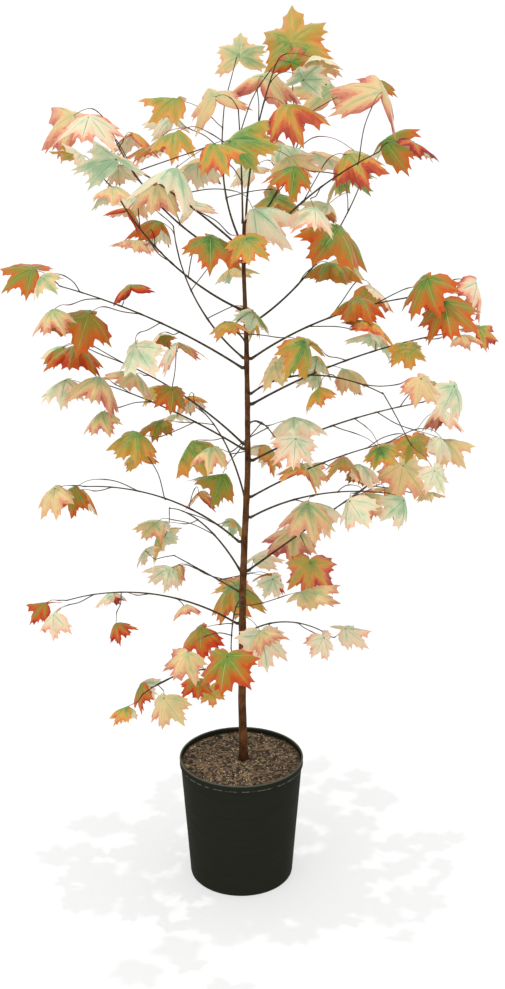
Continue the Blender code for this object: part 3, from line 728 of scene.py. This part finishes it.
# A spray is one twig with up to three leaves at its end, each on a long thin stalk that climbs and
# bends over. Every spray is drawn from its own seed, and what would touch something that stands
# already is skipped, so the sprays stand where the solids have them.
TWIG_STEPS = 1
STALK_STEPS = 2
LOWEST_LEAF = 0.344
TIP_TWIG_TURN = (-30, 30)
SIDE_TWIG_TURN = (15, 110)
TWIG_LIFT = (-35, 35)
TWIG_SAG = (0, 30)
TWIG_SWEEP = (-15, 15)
SHORTEST_TWIG = 0.012
TWIG_LENGTH = (0.0, 0.14)
LEAF_COUNTS = (1, 2, 2, 3)
LEAF_SPREAD = (30, 80)
LEAF_TURN = (-15, 15)
STALK_RISE = (-20, 50)
STALK_LENGTH = (0.035, 0.085)
STALK_SAG = (10, 60)
STALK_SWEEP = (-20, 20)
CROWN_FOOT = 1.414
CROWN_DEPTH = 0.45
LOW_PITCH = -24
CROWN_PITCH = 25
BLADE_PITCH = (-38, 38)
BLADE_TURN = (-30, 30)
BLADE_ROLL = (-28, 28)
BLADE_SIZE = (0.054, 0.110)
BLADE_DROOP = (0.1, 0.4)
BLADE_FOLD = (0.2, 0.8)
LEAF_ROOM = 0.018
TWIG_ROOM = 0.012
TRUNK_ROOM = 0.016
POT_ROOM = 0.030
WOOD_SHARE = 0.5
NEAR_LIMB = 0.018
NEAR_TWIG = 0.014
NEAR_BLADE = 0.004
FEELING_STEP = 0.008
FEELING_RINGS = (0.35, 0.7, 1.0)
TRUNK_LENGTHS = 11
RIM_POINTS = 60

# Half the rough outline by which a blade feels its neighbours: angle from the tip lobe, and reach
LOBES = ((0, 1.0), (22, 0.66), (45, 0.90), (73, 0.60), (104, 0.68), (180, 0.12))


def rough_outline():
    """Flat points round a blade, as shares of its size, with the stalk's end at the middle."""
    left = [(360 - angle, reach) for angle, reach in LOBES[-2:0:-1]]
    return np.array([(reach * math.cos(math.radians(angle)), reach * math.sin(math.radians(angle)))
                     for angle, reach in [*LOBES, *left]])


def laid_on(flat, leaf, extra=0.0):
    """Flat points laid on a leaf's blade, which hangs from its midrib and droops to its tips."""
    fall = leaf["droop"] * (flat ** 2).sum(axis=1) + leaf["fold"] * np.abs(flat[:, 1]) + extra
    return leaf["root"] + leaf["size"] * (np.outer(flat[:, 0], leaf["along"])
                                          + np.outer(flat[:, 1], leaf["across"])
                                          - np.outer(fall, leaf["up"]))


def grow_leaf(draw, root, turn, scale):
    """A leaf on its stalk: the stalk climbs and bends over, and the blade hangs or stands at its end."""
    rise = draw(*STALK_RISE)
    length = draw(*STALK_LENGTH) * scale
    stalk = limb_path(root, rise, rise - draw(*STALK_SAG), turn, draw(*STALK_SWEEP), length, STALK_STEPS)
    crown_share = min(max((stalk[-1][2] - CROWN_FOOT) / CROWN_DEPTH, 0.0), 1.0)
    pitch = LOW_PITCH + (CROWN_PITCH - LOW_PITCH) * crown_share
    along = heading(pitch + draw(*BLADE_PITCH), turn + draw(*BLADE_TURN))
    level = np.cross((0.0, 0.0, 1.0), along)
    level /= np.linalg.norm(level)
    upright = np.cross(along, level)
    roll = math.radians(draw(*BLADE_ROLL))
    return {
        "stalk": stalk,
        "root": stalk[-1],
        "along": along,
        "across": math.cos(roll) * level + math.sin(roll) * upright,
        "up": math.cos(roll) * upright - math.sin(roll) * level,
        "size": draw(*BLADE_SIZE) * scale,
        "droop": draw(*BLADE_DROOP),
        "fold": draw(*BLADE_FOLD),
    }


def grow_spray(limb, seed, root, share, at_tip):
    """One twig with one to three leaves at its end, all drawn from one seed."""
    source = random.Random(seed)
    draw = source.uniform
    rise = limb.rise + (limb.tip_rise - limb.rise) * share
    turn = limb.turn + limb.sweep * share
    turn += draw(*TIP_TWIG_TURN) if at_tip else draw(*SIDE_TWIG_TURN) * source.choice((-1, 1))
    lift = rise + draw(*TWIG_LIFT)
    length = SHORTEST_TWIG + draw(*TWIG_LENGTH) * limb.scale
    twig = limb_path(root, lift, lift - draw(*TWIG_SAG), turn, draw(*TWIG_SWEEP), length, TWIG_STEPS)
    leaves = []
    for side in (0, 1, -1)[:source.choice(LEAF_COUNTS)]:
        away = turn + side * draw(*LEAF_SPREAD) + draw(*LEAF_TURN)
        leaves.append(grow_leaf(draw, twig[-1], away, limb.scale))
    return twig, leaves


def close_points(path):
    """Points along a path, close enough together to feel anything that it touches."""
    points = []
    for start, end in zip(path[:-1], path[1:]):
        count = max(int(np.linalg.norm(end - start) / FEELING_STEP), 1) + 1
        points.extend(start + (end - start) * number / count for number in range(count))
    return np.array(points + [path[-1]])


def beyond(points, root, distance):
    """The points that lie further from a root than a distance."""
    return points[np.linalg.norm(points - root, axis=1) > distance]


def taken_space(points, room):
    """Points that stand already, with the room that a leaf keeps from them and the ball they fill."""
    middle = points.mean(axis=0)
    return points, room, middle, np.linalg.norm(points - middle, axis=1).max()


def is_clear(points, taken, share):
    """True when no point comes within its share of the room round anything that stands already."""
    if len(points) == 0:
        return True
    middle = points.mean(axis=0)
    reach = np.linalg.norm(points - middle, axis=1).max()
    for others, room, other_middle, other_reach in taken:
        gap = room * share
        if np.linalg.norm(other_middle - middle) > reach + other_reach + gap:
            continue
        apart = points[:, None, :] - others[None, :, :]
        if (apart ** 2).sum(axis=2).min() < gap ** 2:
            return False
    return True


def feeling_points():
    """Flat points spread over a blade, by which it feels its neighbours."""
    rim = rough_outline()
    edge = np.vstack([rim, (rim + np.roll(rim, -1, axis=0)) / 2])
    return np.vstack([np.zeros((1, 2)), *[edge * share for share in FEELING_RINGS]])


def standing_spaces():
    """The spaces of the trunk, the limbs and the pot's rim, which stand before any leaf."""
    taken = [taken_space(close_points(whole_limb(limb)), TWIG_ROOM) for limb in LIMBS]
    heights = np.linspace(FOOT_HEIGHT, FORK_HEIGHT, TRUNK_LENGTHS + 1)
    for low, high in zip(heights, heights[1:]):
        taken.append(taken_space(close_points([trunk_axis(low), trunk_axis(high)]), TRUNK_ROOM))
    rim = [(POT_RIM_RADIUS * math.cos(angle), POT_RIM_RADIUS * math.sin(angle), POT_HEIGHT)
           for angle in np.linspace(0, 2 * math.pi, RIM_POINTS)]
    taken.append(taken_space(np.array(rim), POT_ROOM))
    return taken


def keep_spray(twig, leaves, taken):
    """What of a spray keeps clear: a twig that touches ends its spray, and a leaf that does is skipped."""
    wood = beyond(close_points(twig), twig[0], NEAR_LIMB)
    if not is_clear(wood, taken, WOOD_SHARE):
        return None
    mine = [taken_space(wood, TWIG_ROOM)] if len(wood) else []
    kept = []
    for leaf in leaves:
        blade = laid_on(feeling_points(), leaf)
        stalk = beyond(close_points(leaf["stalk"]), twig[-1], NEAR_TWIG)
        stalk = beyond(stalk, leaf["root"], NEAR_BLADE)
        if blade[:, 2].min() < LOWEST_LEAF or not is_clear(blade, taken + mine, 1.0):
            continue
        if not is_clear(stalk, taken + mine, WOOD_SHARE):
            continue
        mine.append(taken_space(blade, LEAF_ROOM))
        if len(stalk):
            mine.append(taken_space(stalk, TWIG_ROOM))
        kept.append(leaf)
    return twig, kept, mine


sprays = []
standing = standing_spaces()
for limb in LIMBS:
    limb_line = whole_limb(limb)
    for seed, share in zip(limb.seeds, spray_shares(limb)):
        spray_root = point_at(limb_line, share)
        grown = keep_spray(*grow_spray(limb, seed, spray_root, share, share == 1.0), standing)
        if grown is not None:
            standing.extend(grown[2])
            sprays.append((limb, seed, limb_line[int(share * LIMB_STEPS) - 1], *grown[:2]))


# Twigs and stalks are round and thin. A twig leaves its limb at a joint, and ends in a small bud
# between its leaves. Stalks are green-brown or wine-red, thicker at both ends, and run on into
# the blade's midrib.
TWIG_RADIUS = 0.0011
TWIG_FOOT = 1.25
TWIG_TAPER = 0.35
TWIG_END_SWELL = 0.3
STALK_RADIUS = 0.00075
STALK_FOOT_SWELL = 0.8
STALK_HEAD_SWELL = 0.4
TWIG_SIDES = 6
STALK_SIDES = 5
TWIG_CUTS = 6
STALK_CUTS = 4
STALK_TINTS = {"green_stalk": "5f6136", "wine_stalk": "7a3f2c"}
BUD_LENGTH = 0.004
BUD_RADIUS = 0.0013
JOINT_EASE = 0.18
TWIG_BOW = 0.05
TWIG_STRAIGHT = 0.002
BUD_PARTS = ((-0.2, 0.6), (0.15, 1.0), (0.55, 0.8), (1.0, 0.1))
SHORT_OF_BLADE = 0.001
UNDER_BLADE = 0.0008
ALONG_MIDRIB = 0.004
UNDER_MIDRIB = 0.0009
WOOD_LOOKS_FROM = 5

stalk_finishes = [grained_finish(name, code, roughness=0.5, scale=900.0, detail=2.0, strength=0.3,
                                 distance=0.0002) for name, code in STALK_TINTS.items()]


def toward(start, end):
    """The unit vector from one point to another."""
    return (end - start) / np.linalg.norm(end - start)


def eased_joint(twig, leaves):
    """The end of a twig, drawn in so that its first stalk runs on from it in a curve."""
    if not leaves:
        return twig[-1]
    before = (twig[0] - twig[-1]) / 2
    after = leaves[0]["stalk"][1] - twig[-1]
    return twig[-1] + (before + after) * JOINT_EASE


def stalk_points(leaf):
    """The points that a stalk runs through to the foot of its blade and a little along the midrib."""
    root, along, up = leaf["root"], leaf["along"], leaf["up"]
    before = root - along * SHORT_OF_BLADE - up * UNDER_BLADE
    behind = root + along * ALONG_MIDRIB - up * UNDER_MIDRIB
    return [*leaf["stalk"][1:-1], before, behind]


twig_wood = bmesh.new()
for limb in LIMBS:
    add_mesh(twig_wood, limb_wood(limb, foliage_start(limb), LIMB_STEPS))
for limb, seed, before, twig, leaves in sprays:
    look = random.Random(seed + WOOD_LOOKS_FROM)
    twig_way = toward(twig[0], twig[-1])
    inside = twig[0] - toward(before, twig[0]) * SUNK
    bow = np.array([look.uniform(-1, 1) for _ in range(3)]) * TWIG_BOW * np.linalg.norm(twig[-1] - twig[0])
    joint = eased_joint(twig, leaves)
    twig_points = [inside, twig[0] + twig_way * TWIG_STRAIGHT, (twig[0] + twig[-1]) / 2 + bow, joint]
    runs_on = stalk_points(leaves[0]) if leaves else []
    whole_line = smooth_line([*twig_points, *runs_on], TWIG_CUTS)
    at_joint = (len(twig_points) - 1) * TWIG_CUTS
    twig_line = whole_line[:at_joint + 1]
    shares = np.linspace(0, 1, len(twig_line))
    end = np.exp(-((1 - shares) * 9) ** 2)
    radii = TWIG_RADIUS * (TWIG_FOOT - TWIG_TAPER * shares + TWIG_END_SWELL * end)
    add_mesh(twig_wood, bent_rod(twig_line, radii, TWIG_SIDES))
    joint_way = toward(twig_line[-2], joint)
    bud_line = [joint + joint_way * BUD_LENGTH * share for share, _ in BUD_PARTS]
    add_mesh(twig_wood, bent_rod(bud_line, [BUD_RADIUS * width for _, width in BUD_PARTS], TWIG_SIDES))
    stalk_number = 1 + look.choice((0, 0, 1))
    for number, leaf in enumerate(leaves):
        stalk_line = whole_line[at_joint:]
        if number:
            stalk_line = smooth_line([twig_line[-2], joint, *stalk_points(leaf)], STALK_CUTS)
        shares = np.linspace(0, 1, len(stalk_line))
        foot, head = np.exp(-(shares * 8) ** 2), np.exp(-((0.85 - shares) * 7) ** 2)
        radii = STALK_RADIUS * (1 + STALK_FOOT_SWELL * foot + STALK_HEAD_SWELL * head)
        radii[-1] *= 0.5
        add_mesh(twig_wood, bent_rod(stalk_line, radii, STALK_SIDES), stalk_number)
twigs = piece_from("twigs_and_stalks", twig_wood, [shoot_finish, *stalk_finishes])
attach(twigs, "root")
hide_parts(*["foliage_" + limb.name for limb in LIMBS])


# A leaf is a thin five-lobed blade with pointed teeth, soft enough to hang in folds from its veins.
# Autumn turns it from the rim inwards: green stays longest along the veins, then comes gold, then
# orange and red at the teeth. Its top is bright or russet, or a washed-out pale copy of the bright
# tints that is a painted sheen, and its underside is pale and matt.
RINGS = 8
BLADE_THICKNESS = 0.00045
ON_VEIN = 1.3

# The form of a blade, in shares of its size: its veins, the puffs between them, its folds and waves
VEIN_WIDTH = 0.009
MIDRIB_WIDTH = 0.013
VEIN_TAPER = 0.8
VEIN_ROOM = 0.03
VEIN_SINK = 0.006
SINK_WIDTH = 0.02
PUFF = 0.026
PUFF_WIDTH = 0.16
CREASE = 0.035
LOBE_VARIES = (0.94, 1.05)
TOOTH_VARIES = (-0.035, 0.035)
OPENING = (0.88, 1.08)
SIDE_HANG = (0.0, 0.3)
RIM_CURL = (-0.08, 0.20)
WAVE_HEIGHT = 0.022
WAVES_ALONG = (9, 14)
WAVES_ACROSS = (-9, 9)
WAVE_START = (0, 6)
LOBE_HANG = (-0.05, 0.14)
LOBE_SPREAD = 0.35

# Each skin's key tints from green to deep red, how glossy it is, and how often a limb's leaves have it
BRIGHT_KEYS = ("3f7626", "5f8a2b", "86922e", "a8952c", "b68f29", "c7942c", "d18c28", "d17722", "c95915",
               "be4213", "af2e11", "961d0f", "7a160c")
RUSSET_KEYS = ("3c7024", "557d28", "74842c", "8f7f2c", "a07727", "b17022", "be671c", "c55715", "c34a13",
               "ba3a13", "ab2c11", "95200f", "7e170d")
# The faded keys are washed-out pale copies of the bright keys, a painted sheen of the white surroundings.
WASHED_SHEEN_KEYS = ("82a26c", "98ac74", "b2b27a", "c9b67c", "d4b97e", "dcbc80", "e0b07c", "de9f74", "d68a66",
              "ca7456", "ba5f49", "a64d3c", "903d32")
UNDER_KEYS = ("9fbb92", "b6c8a0", "cdd0aa", "e0d5b0", "e9d0ae", "ecc3a2", "e8ac8c", "dc8e70", "cb6b52",
              "ad4a3d")
VEIN_TINTS = {"vein_pale": "a9a562", "vein_green": "5d7434", "vein_under": "5f8f76"}
TINT_STEPS = 2
TOP_GLOSS = 0.62
RUSSET_GLOSS = 0.22
UNDER_GLOSS = 0.5
TOP_ROUGHNESS = 0.5
UNDER_ROUGHNESS = 0.7
LEAF_BLOOM = 0.25
BLOOM_ROUGHNESS = 0.25
NET_SCALE = 240.0
NET_WIDTH = 0.12
NET_STRENGTH = 0.35
NET_DEPTH = 0.0004
RUSSET_CHANCE = {"gold": 0.25, "orange": 0.33, "rose": 0.35, "red": 0.5}
# How often a limb's leaves get the washed-out pale tints that are a painted sheen.
WASHED_SHEEN_CHANCE = {"gold": 0.3, "orange": 0.3, "rose": 0.4, "red": 0.25}

# How far a leaf has turned, counted in key tints: at its middle, at its rim, in patches and to one side
CENTRE_GREEN = (-0.2, 2.9)
RIM_RIPENESS = {"gold": 4.2, "orange": 5.5, "rose": 6.1, "red": 7.5}
RIM_GLOW = 2.4
RIM_BLUSH = 2.4
TURNING = (0.8, 1.25)
FROM_VEINS = (1.8, 4.2)
FROM_MIDDLE = (0.45, 0.85)
MOTTLE = (1.2, 2.6)
MOTTLE_SCALES = (3.2, 12)
FINE_MOTTLE = 0.6
LEAN_ALONG = (-1.6, 1.6)
LEAN_ACROSS = (-2.2, 2.2)
PALENESS = (-0.8, 1.0)
BLEED = (0.32, 0.6)
UNDER_MOTTLE = 1.9
DITHER = (-0.6, 0.6)
RIPE_VEIN = 5.5
MIDRIB_SHOWS = 0.9
VEIN_SHOWS = 0.6
SPRAY_VARIES = (-1.8, 1.8)
LEAF_VARIES = (-1.2, 1.2)
TURNED_OVER = 0.17
TURNED_FLUSH = 0.7
LOOKS_FROM = 10489
LEAF_GROUPS = ("low", "mid", "high", "top")

# Half the fine outline: angle from the tip lobe, and reach from the stalk as a share of the blade's size
HALF_EDGE = (
    (0.5, 1.000), (3.8, 0.880), (7.5, 0.825), (15.5, 0.850), (16.8, 0.735), (19.5, 0.655), (23.5, 0.585),
    (27.5, 0.610), (31.5, 0.720), (35.5, 0.705), (40.5, 0.800), (44.4, 0.930),
    (45.6, 0.930), (49.5, 0.805), (53.0, 0.760), (58.5, 0.820), (60.0, 0.695), (64.0, 0.620),
    (69.5, 0.655), (71.5, 0.560), (76.0, 0.525), (84.5, 0.570), (90.0, 0.660), (93.5, 0.590),
    (99.0, 0.630), (103.2, 0.735),
    (104.8, 0.735), (109.5, 0.610), (114.0, 0.575), (121.0, 0.630), (124.5, 0.500), (139.0, 0.440),
    (154.0, 0.300), (171.0, 0.160),
)
EDGE = [*HALF_EDGE, (180.0, 0.09), *[(360 - angle, reach) for angle, reach in reversed(HALF_EDGE)]]
VEIN_ANGLES = (0, 45, 104, 256, 315)
VEINS = [math.radians(angle) for angle in VEIN_ANGLES]
LAST_VEIN = VEINS[2]


def leaf_finish(name, colour, roughness, gloss):
    """A leaf's skin of one tint, with a net of small veins in relief."""
    material, tree, shader = new_finish(name)
    net = add_node(tree, "ShaderNodeTexVoronoi", {"Vector": own_place(tree), "Scale": NET_SCALE},
                   feature="DISTANCE_TO_EDGE")
    ribs = ranged(tree, net.outputs["Distance"], 0.0, NET_WIDTH)
    fill_inputs(tree, shader, {
        "Base Color": colour,
        "Roughness": roughness,
        "Specular IOR Level": gloss,
        "Sheen Weight": LEAF_BLOOM,
        "Sheen Roughness": BLOOM_ROUGHNESS,
        "Normal": relief_of(tree, ribs, NET_STRENGTH, NET_DEPTH),
    })
    return material


def blended_tints(keys):
    """The key tints in order, with even steps blended in between each and the next."""
    colours = [np.array(screen_colour(code)) for code in keys]
    blends = [before + (after - before) * step / TINT_STEPS
              for before, after in zip(colours, colours[1:]) for step in range(TINT_STEPS)]
    return [tuple(colour) for colour in [*blends, colours[-1]]]


top_tints = blended_tints(BRIGHT_KEYS)
russet_tints = blended_tints(RUSSET_KEYS)
washed_sheen_tints = blended_tints(WASHED_SHEEN_KEYS)
under_tints = blended_tints(UNDER_KEYS)
leaf_finishes = []
for name, tints, roughness, gloss in (("leaf_top", top_tints, TOP_ROUGHNESS, TOP_GLOSS),
                                      ("leaf_russet", russet_tints, TOP_ROUGHNESS, RUSSET_GLOSS),
                                      ("leaf_washed_sheen", washed_sheen_tints, TOP_ROUGHNESS, TOP_GLOSS),
                                      ("leaf_under", under_tints, UNDER_ROUGHNESS, UNDER_GLOSS)):
    for number, colour in enumerate(tints):
        leaf_finishes.append(leaf_finish(f"{name}_{number}", colour, roughness, gloss))
for name, code in VEIN_TINTS.items():
    leaf_finishes.append(leaf_finish(name, screen_colour(code), TOP_ROUGHNESS, RUSSET_GLOSS))
FIRST_TINT = {"bright": 0, "russet": len(top_tints), "washed_sheen": len(top_tints) + len(russet_tints)}
FIRST_UNDER = FIRST_TINT["washed_sheen"] + len(washed_sheen_tints)
FIRST_VEIN = FIRST_UNDER + len(under_tints)
UNDER_VEIN = FIRST_VEIN + 2


def blade_fan():
    """A flat fan with a spoke to each point of a blade's edge, cut into rings."""
    mesh = bmesh.new()
    bmesh.ops.create_circle(mesh, cap_ends=True, cap_tris=True, segments=len(EDGE), radius=1.0)
    spokes = [edge for edge in mesh.edges if min(vert.co.length for vert in edge.verts) < 0.5]
    bmesh.ops.subdivide_edges(mesh, edges=spokes, cuts=RINGS - 1, use_grid_fill=True)
    return mesh


fan = blade_fan()
fan.verts.ensure_lookup_table()
spoke_step = 2 * math.pi / len(EDGE)
spoke_angles = [math.atan2(vert.co.y, vert.co.x) % (2 * math.pi) for vert in fan.verts]
first_angle = min(angle for angle, vert in zip(spoke_angles, fan.verts) if vert.co.length > 0.99)
places = [(round((angle - first_angle) / spoke_step) % len(EDGE), vert.co.length)
          for angle, vert in zip(spoke_angles, fan.verts)]
ring_share = np.array([share for _, share in places])


def turn_between(first, second):
    """The turn from one angle to another, the short way round."""
    return (second - first + math.pi) % (2 * math.pi) - math.pi


def nearest_vein(points):
    """How far each flat point is from the line of its nearest main vein."""
    gaps = []
    for vein in VEINS:
        forward = points[:, 0] * math.cos(vein) + points[:, 1] * math.sin(vein)
        sideways = np.abs(points[:, 1] * math.cos(vein) - points[:, 0] * math.sin(vein))
        gaps.append(np.where(forward > 0, sideways, np.hypot(points[:, 0], points[:, 1])))
    return np.min(gaps, axis=0)


def flat_blade(draw):
    """The fan's points drawn out to one leaf's own flat outline, each lobe and tooth a little its own."""
    lobe_reach = {vein: draw(*LOBE_VARIES) for vein in VEINS}
    flat = np.zeros((len(places), 2))
    jitter = [1 + draw(*TOOTH_VARIES) for _ in EDGE]
    for number, (spoke, share) in enumerate(places):
        angle, reach = EDGE[spoke]
        angle = math.radians(angle)
        vein = min(VEINS, key=lambda line: abs(turn_between(line, angle)))
        off_vein = turn_between(vein, angle)
        reach *= lobe_reach[vein] * share
        if abs(off_vein) < math.radians(ON_VEIN):
            width = MIDRIB_WIDTH if vein == 0 else VEIN_WIDTH
            side = math.copysign(min(width * (1 - VEIN_TAPER * share), reach * VEIN_ROOM), off_vein)
            flat[number] = (reach * math.cos(vein) - side * math.sin(vein),
                            reach * math.sin(vein) + side * math.cos(vein))
        else:
            reach *= jitter[spoke]
            flat[number] = (reach * math.cos(angle), reach * math.sin(angle))
    return flat


def spread_lobes(flat, opening):
    """The flat blade with its side lobes turned further from the tip lobe, or closer to it."""
    angle = np.arctan2(flat[:, 1], flat[:, 0])
    size = np.abs(angle)
    opened = LAST_VEIN * opening
    behind = opened + (size - LAST_VEIN) * (math.pi - opened) / (math.pi - LAST_VEIN)
    turned = np.copysign(np.where(size < LAST_VEIN, size * opening, behind), angle)
    reach = np.hypot(flat[:, 0], flat[:, 1])
    return np.column_stack([reach * np.cos(turned), reach * np.sin(turned)])


def strip_faces():
    """The faces of the fan that lie on a main vein, each with the number of its vein."""
    chosen = {}
    for face in fan.faces:
        spokes = {places[vert.index][0] for vert in face.verts if vert.co.length > 0.01}
        angles = [EDGE[spoke][0] for spoke in spokes]
        for number, vein in enumerate(VEIN_ANGLES):
            if all(abs(angle - vein) < ON_VEIN or abs(angle - vein - 360) < ON_VEIN for angle in angles):
                chosen[face.index] = number
    return chosen


on_vein = strip_faces()
face_corners = [[vert.index for vert in face.verts] for face in fan.faces]
fan_sheet = bpy.data.meshes.new("fan_sheet")
fan.to_mesh(fan_sheet)
fan.free()


def blade_relief(flat, gap, leaf, draw):
    """How far each point of a blade lies under its plain drape: puffs, creases, waves and hanging lobes."""
    off_middle = np.abs(flat[:, 1])
    rounded = leaf["fold"] * (np.hypot(off_middle, CREASE) - CREASE - off_middle)
    puff = -PUFF * np.sin(math.pi * np.minimum(gap / PUFF_WIDTH, 1.0)) * np.sin(math.pi * ring_share)
    sink = VEIN_SINK * np.exp(-(gap / SINK_WIDTH) ** 2) * np.minimum(ring_share * 4, 1.0)
    hang = draw(*SIDE_HANG) * gap
    curl = draw(*RIM_CURL) * ring_share ** 4
    swing = flat[:, 0] * draw(*WAVES_ALONG) + flat[:, 1] * draw(*WAVES_ACROSS) + draw(*WAVE_START)
    waves = WAVE_HEIGHT * np.sin(swing) * ring_share ** 2
    relief = rounded + puff + sink + hang + curl + waves
    angle = np.arctan2(flat[:, 1], flat[:, 0])
    for vein in VEINS:
        apart = turn_between(vein, angle)
        relief += draw(*LOBE_HANG) * np.exp(-(apart / LOBE_SPREAD) ** 2) * ring_share ** 3
    return relief


def skin_of(limb, chance):
    """Which of the three skins a leaf has, by its limb's own shares of them."""
    if chance < RUSSET_CHANCE[limb.tint]:
        return "russet"
    # The pale third skin is a painted sheen: washed-out copies of the bright tints.
    return "washed_sheen" if chance > 1 - WASHED_SHEEN_CHANCE[limb.tint] else "bright"


def nearby_tint(value, tints, draw):
    """The number of a tint at a value's place among the keys, or by chance of the one beside it."""
    return min(max(round(value * TINT_STEPS + draw(*DITHER)), 0), len(tints) - 1)


def face_tints(flat, gap, ripeness, skin, flush, draw):
    """The number of the top's tint and of the underside's for each face, by its place on the leaf."""
    centre = draw(*CENTRE_GREEN)
    turning = draw(*TURNING)
    from_veins = draw(*FROM_VEINS)
    from_middle = draw(*FROM_MIDDLE)
    mottle = draw(*MOTTLE)
    lean = Vector((draw(*LEAN_ALONG), draw(*LEAN_ACROSS), 0.0))
    paleness = draw(*PALENESS) + flush
    bleed = draw(*BLEED)
    shift = Vector((draw(0, 9), draw(0, 9), draw(0, 9)))
    tints = []
    for number, corners in enumerate(face_corners):
        place = Vector((*flat[corners].mean(axis=0), 0.0))
        share = ring_share[corners].mean()
        coarse, fine = [noise.noise(place * scale + shift) for scale in MOTTLE_SCALES]
        outward = min(from_middle * share ** 1.5 + from_veins * gap[corners].mean(), 1.0) * turning
        value = (centre + (ripeness - centre) * outward + mottle * (coarse + FINE_MOTTLE * fine)
                 + lean.dot(place))
        below = (paleness + bleed * value + UNDER_MOTTLE * noise.noise(place * 5 - shift)
                 + RIM_BLUSH * share ** 6)
        value += RIM_GLOW * share ** 4
        top = FIRST_TINT[skin] + nearby_tint(value, top_tints, draw)
        under = FIRST_UNDER + nearby_tint(below, under_tints, draw)
        if number in on_vein:
            top = FIRST_VEIN + (1 if value > RIPE_VEIN else 0)
            under = UNDER_VEIN if share < (VEIN_SHOWS if on_vein[number] else MIDRIB_SHOWS) else under
        tints.append((top, under))
    return tints


def grown_blade(leaf, ripeness, skin, draw):
    """One leaf's blade, closed and thin, with a tint on each face. A few leaves show their underside's tints
    on top, as if turned over.
    """
    flat = flat_blade(draw)
    gap = nearest_vein(flat)
    relief = blade_relief(flat, gap, leaf, draw)
    turned = draw(0, 1) < TURNED_OVER
    tints = face_tints(flat, gap, ripeness, skin, TURNED_FLUSH if turned else 0.0, draw)
    if turned:
        tints = [(under, top) for top, under in tints]
    mesh = bmesh.new()
    mesh.from_mesh(fan_sheet)
    mesh.verts.ensure_lookup_table()
    spots = laid_on(spread_lobes(flat, draw(*OPENING)), leaf, relief)
    for vert, spot in zip(mesh.verts, spots):
        vert.co = spot
    mesh.normal_update()
    tops = list(mesh.faces)
    for face, (top, _) in zip(tops, tints):
        face.material_index = top
        face.smooth = True
    for line in [line for line in mesh.edges if line.is_boundary]:
        line.smooth = False
    made = bmesh.ops.solidify(mesh, geom=tops, thickness=BLADE_THICKNESS)["geom"]
    unders = [item for item in made if isinstance(item, bmesh.types.BMFace)]
    for face, (_, under) in zip(unders, tints):
        face.material_index = under
        face.smooth = True
    for line in mesh.edges:
        if line.smooth and any(len(face.verts) == 4 and not face.smooth for face in line.link_faces):
            line.smooth = False
    return mesh


for group in LEAF_GROUPS:
    leaf_mesh = bmesh.new()
    prefixes = (group + "_", "leader_") if group == "top" else (group + "_",)
    for limb, seed, _, _, leaves in sprays:
        if limb.name.startswith(prefixes):
            look = random.Random(seed + LOOKS_FROM)
            spray_ripeness = RIM_RIPENESS[limb.tint] + look.uniform(*SPRAY_VARIES)
            for leaf in leaves:
                ripeness = spray_ripeness + look.uniform(*LEAF_VARIES)
                skin = skin_of(limb, look.random())
                add_mesh(leaf_mesh, grown_blade(leaf, ripeness, skin, look.uniform), None)
    blades = piece_from(group + "_leaves", leaf_mesh, leaf_finishes)
    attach(blades, "root")
    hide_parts(*["foliage_" + limb.name for limb in LIMBS if limb.name.startswith(prefixes)])
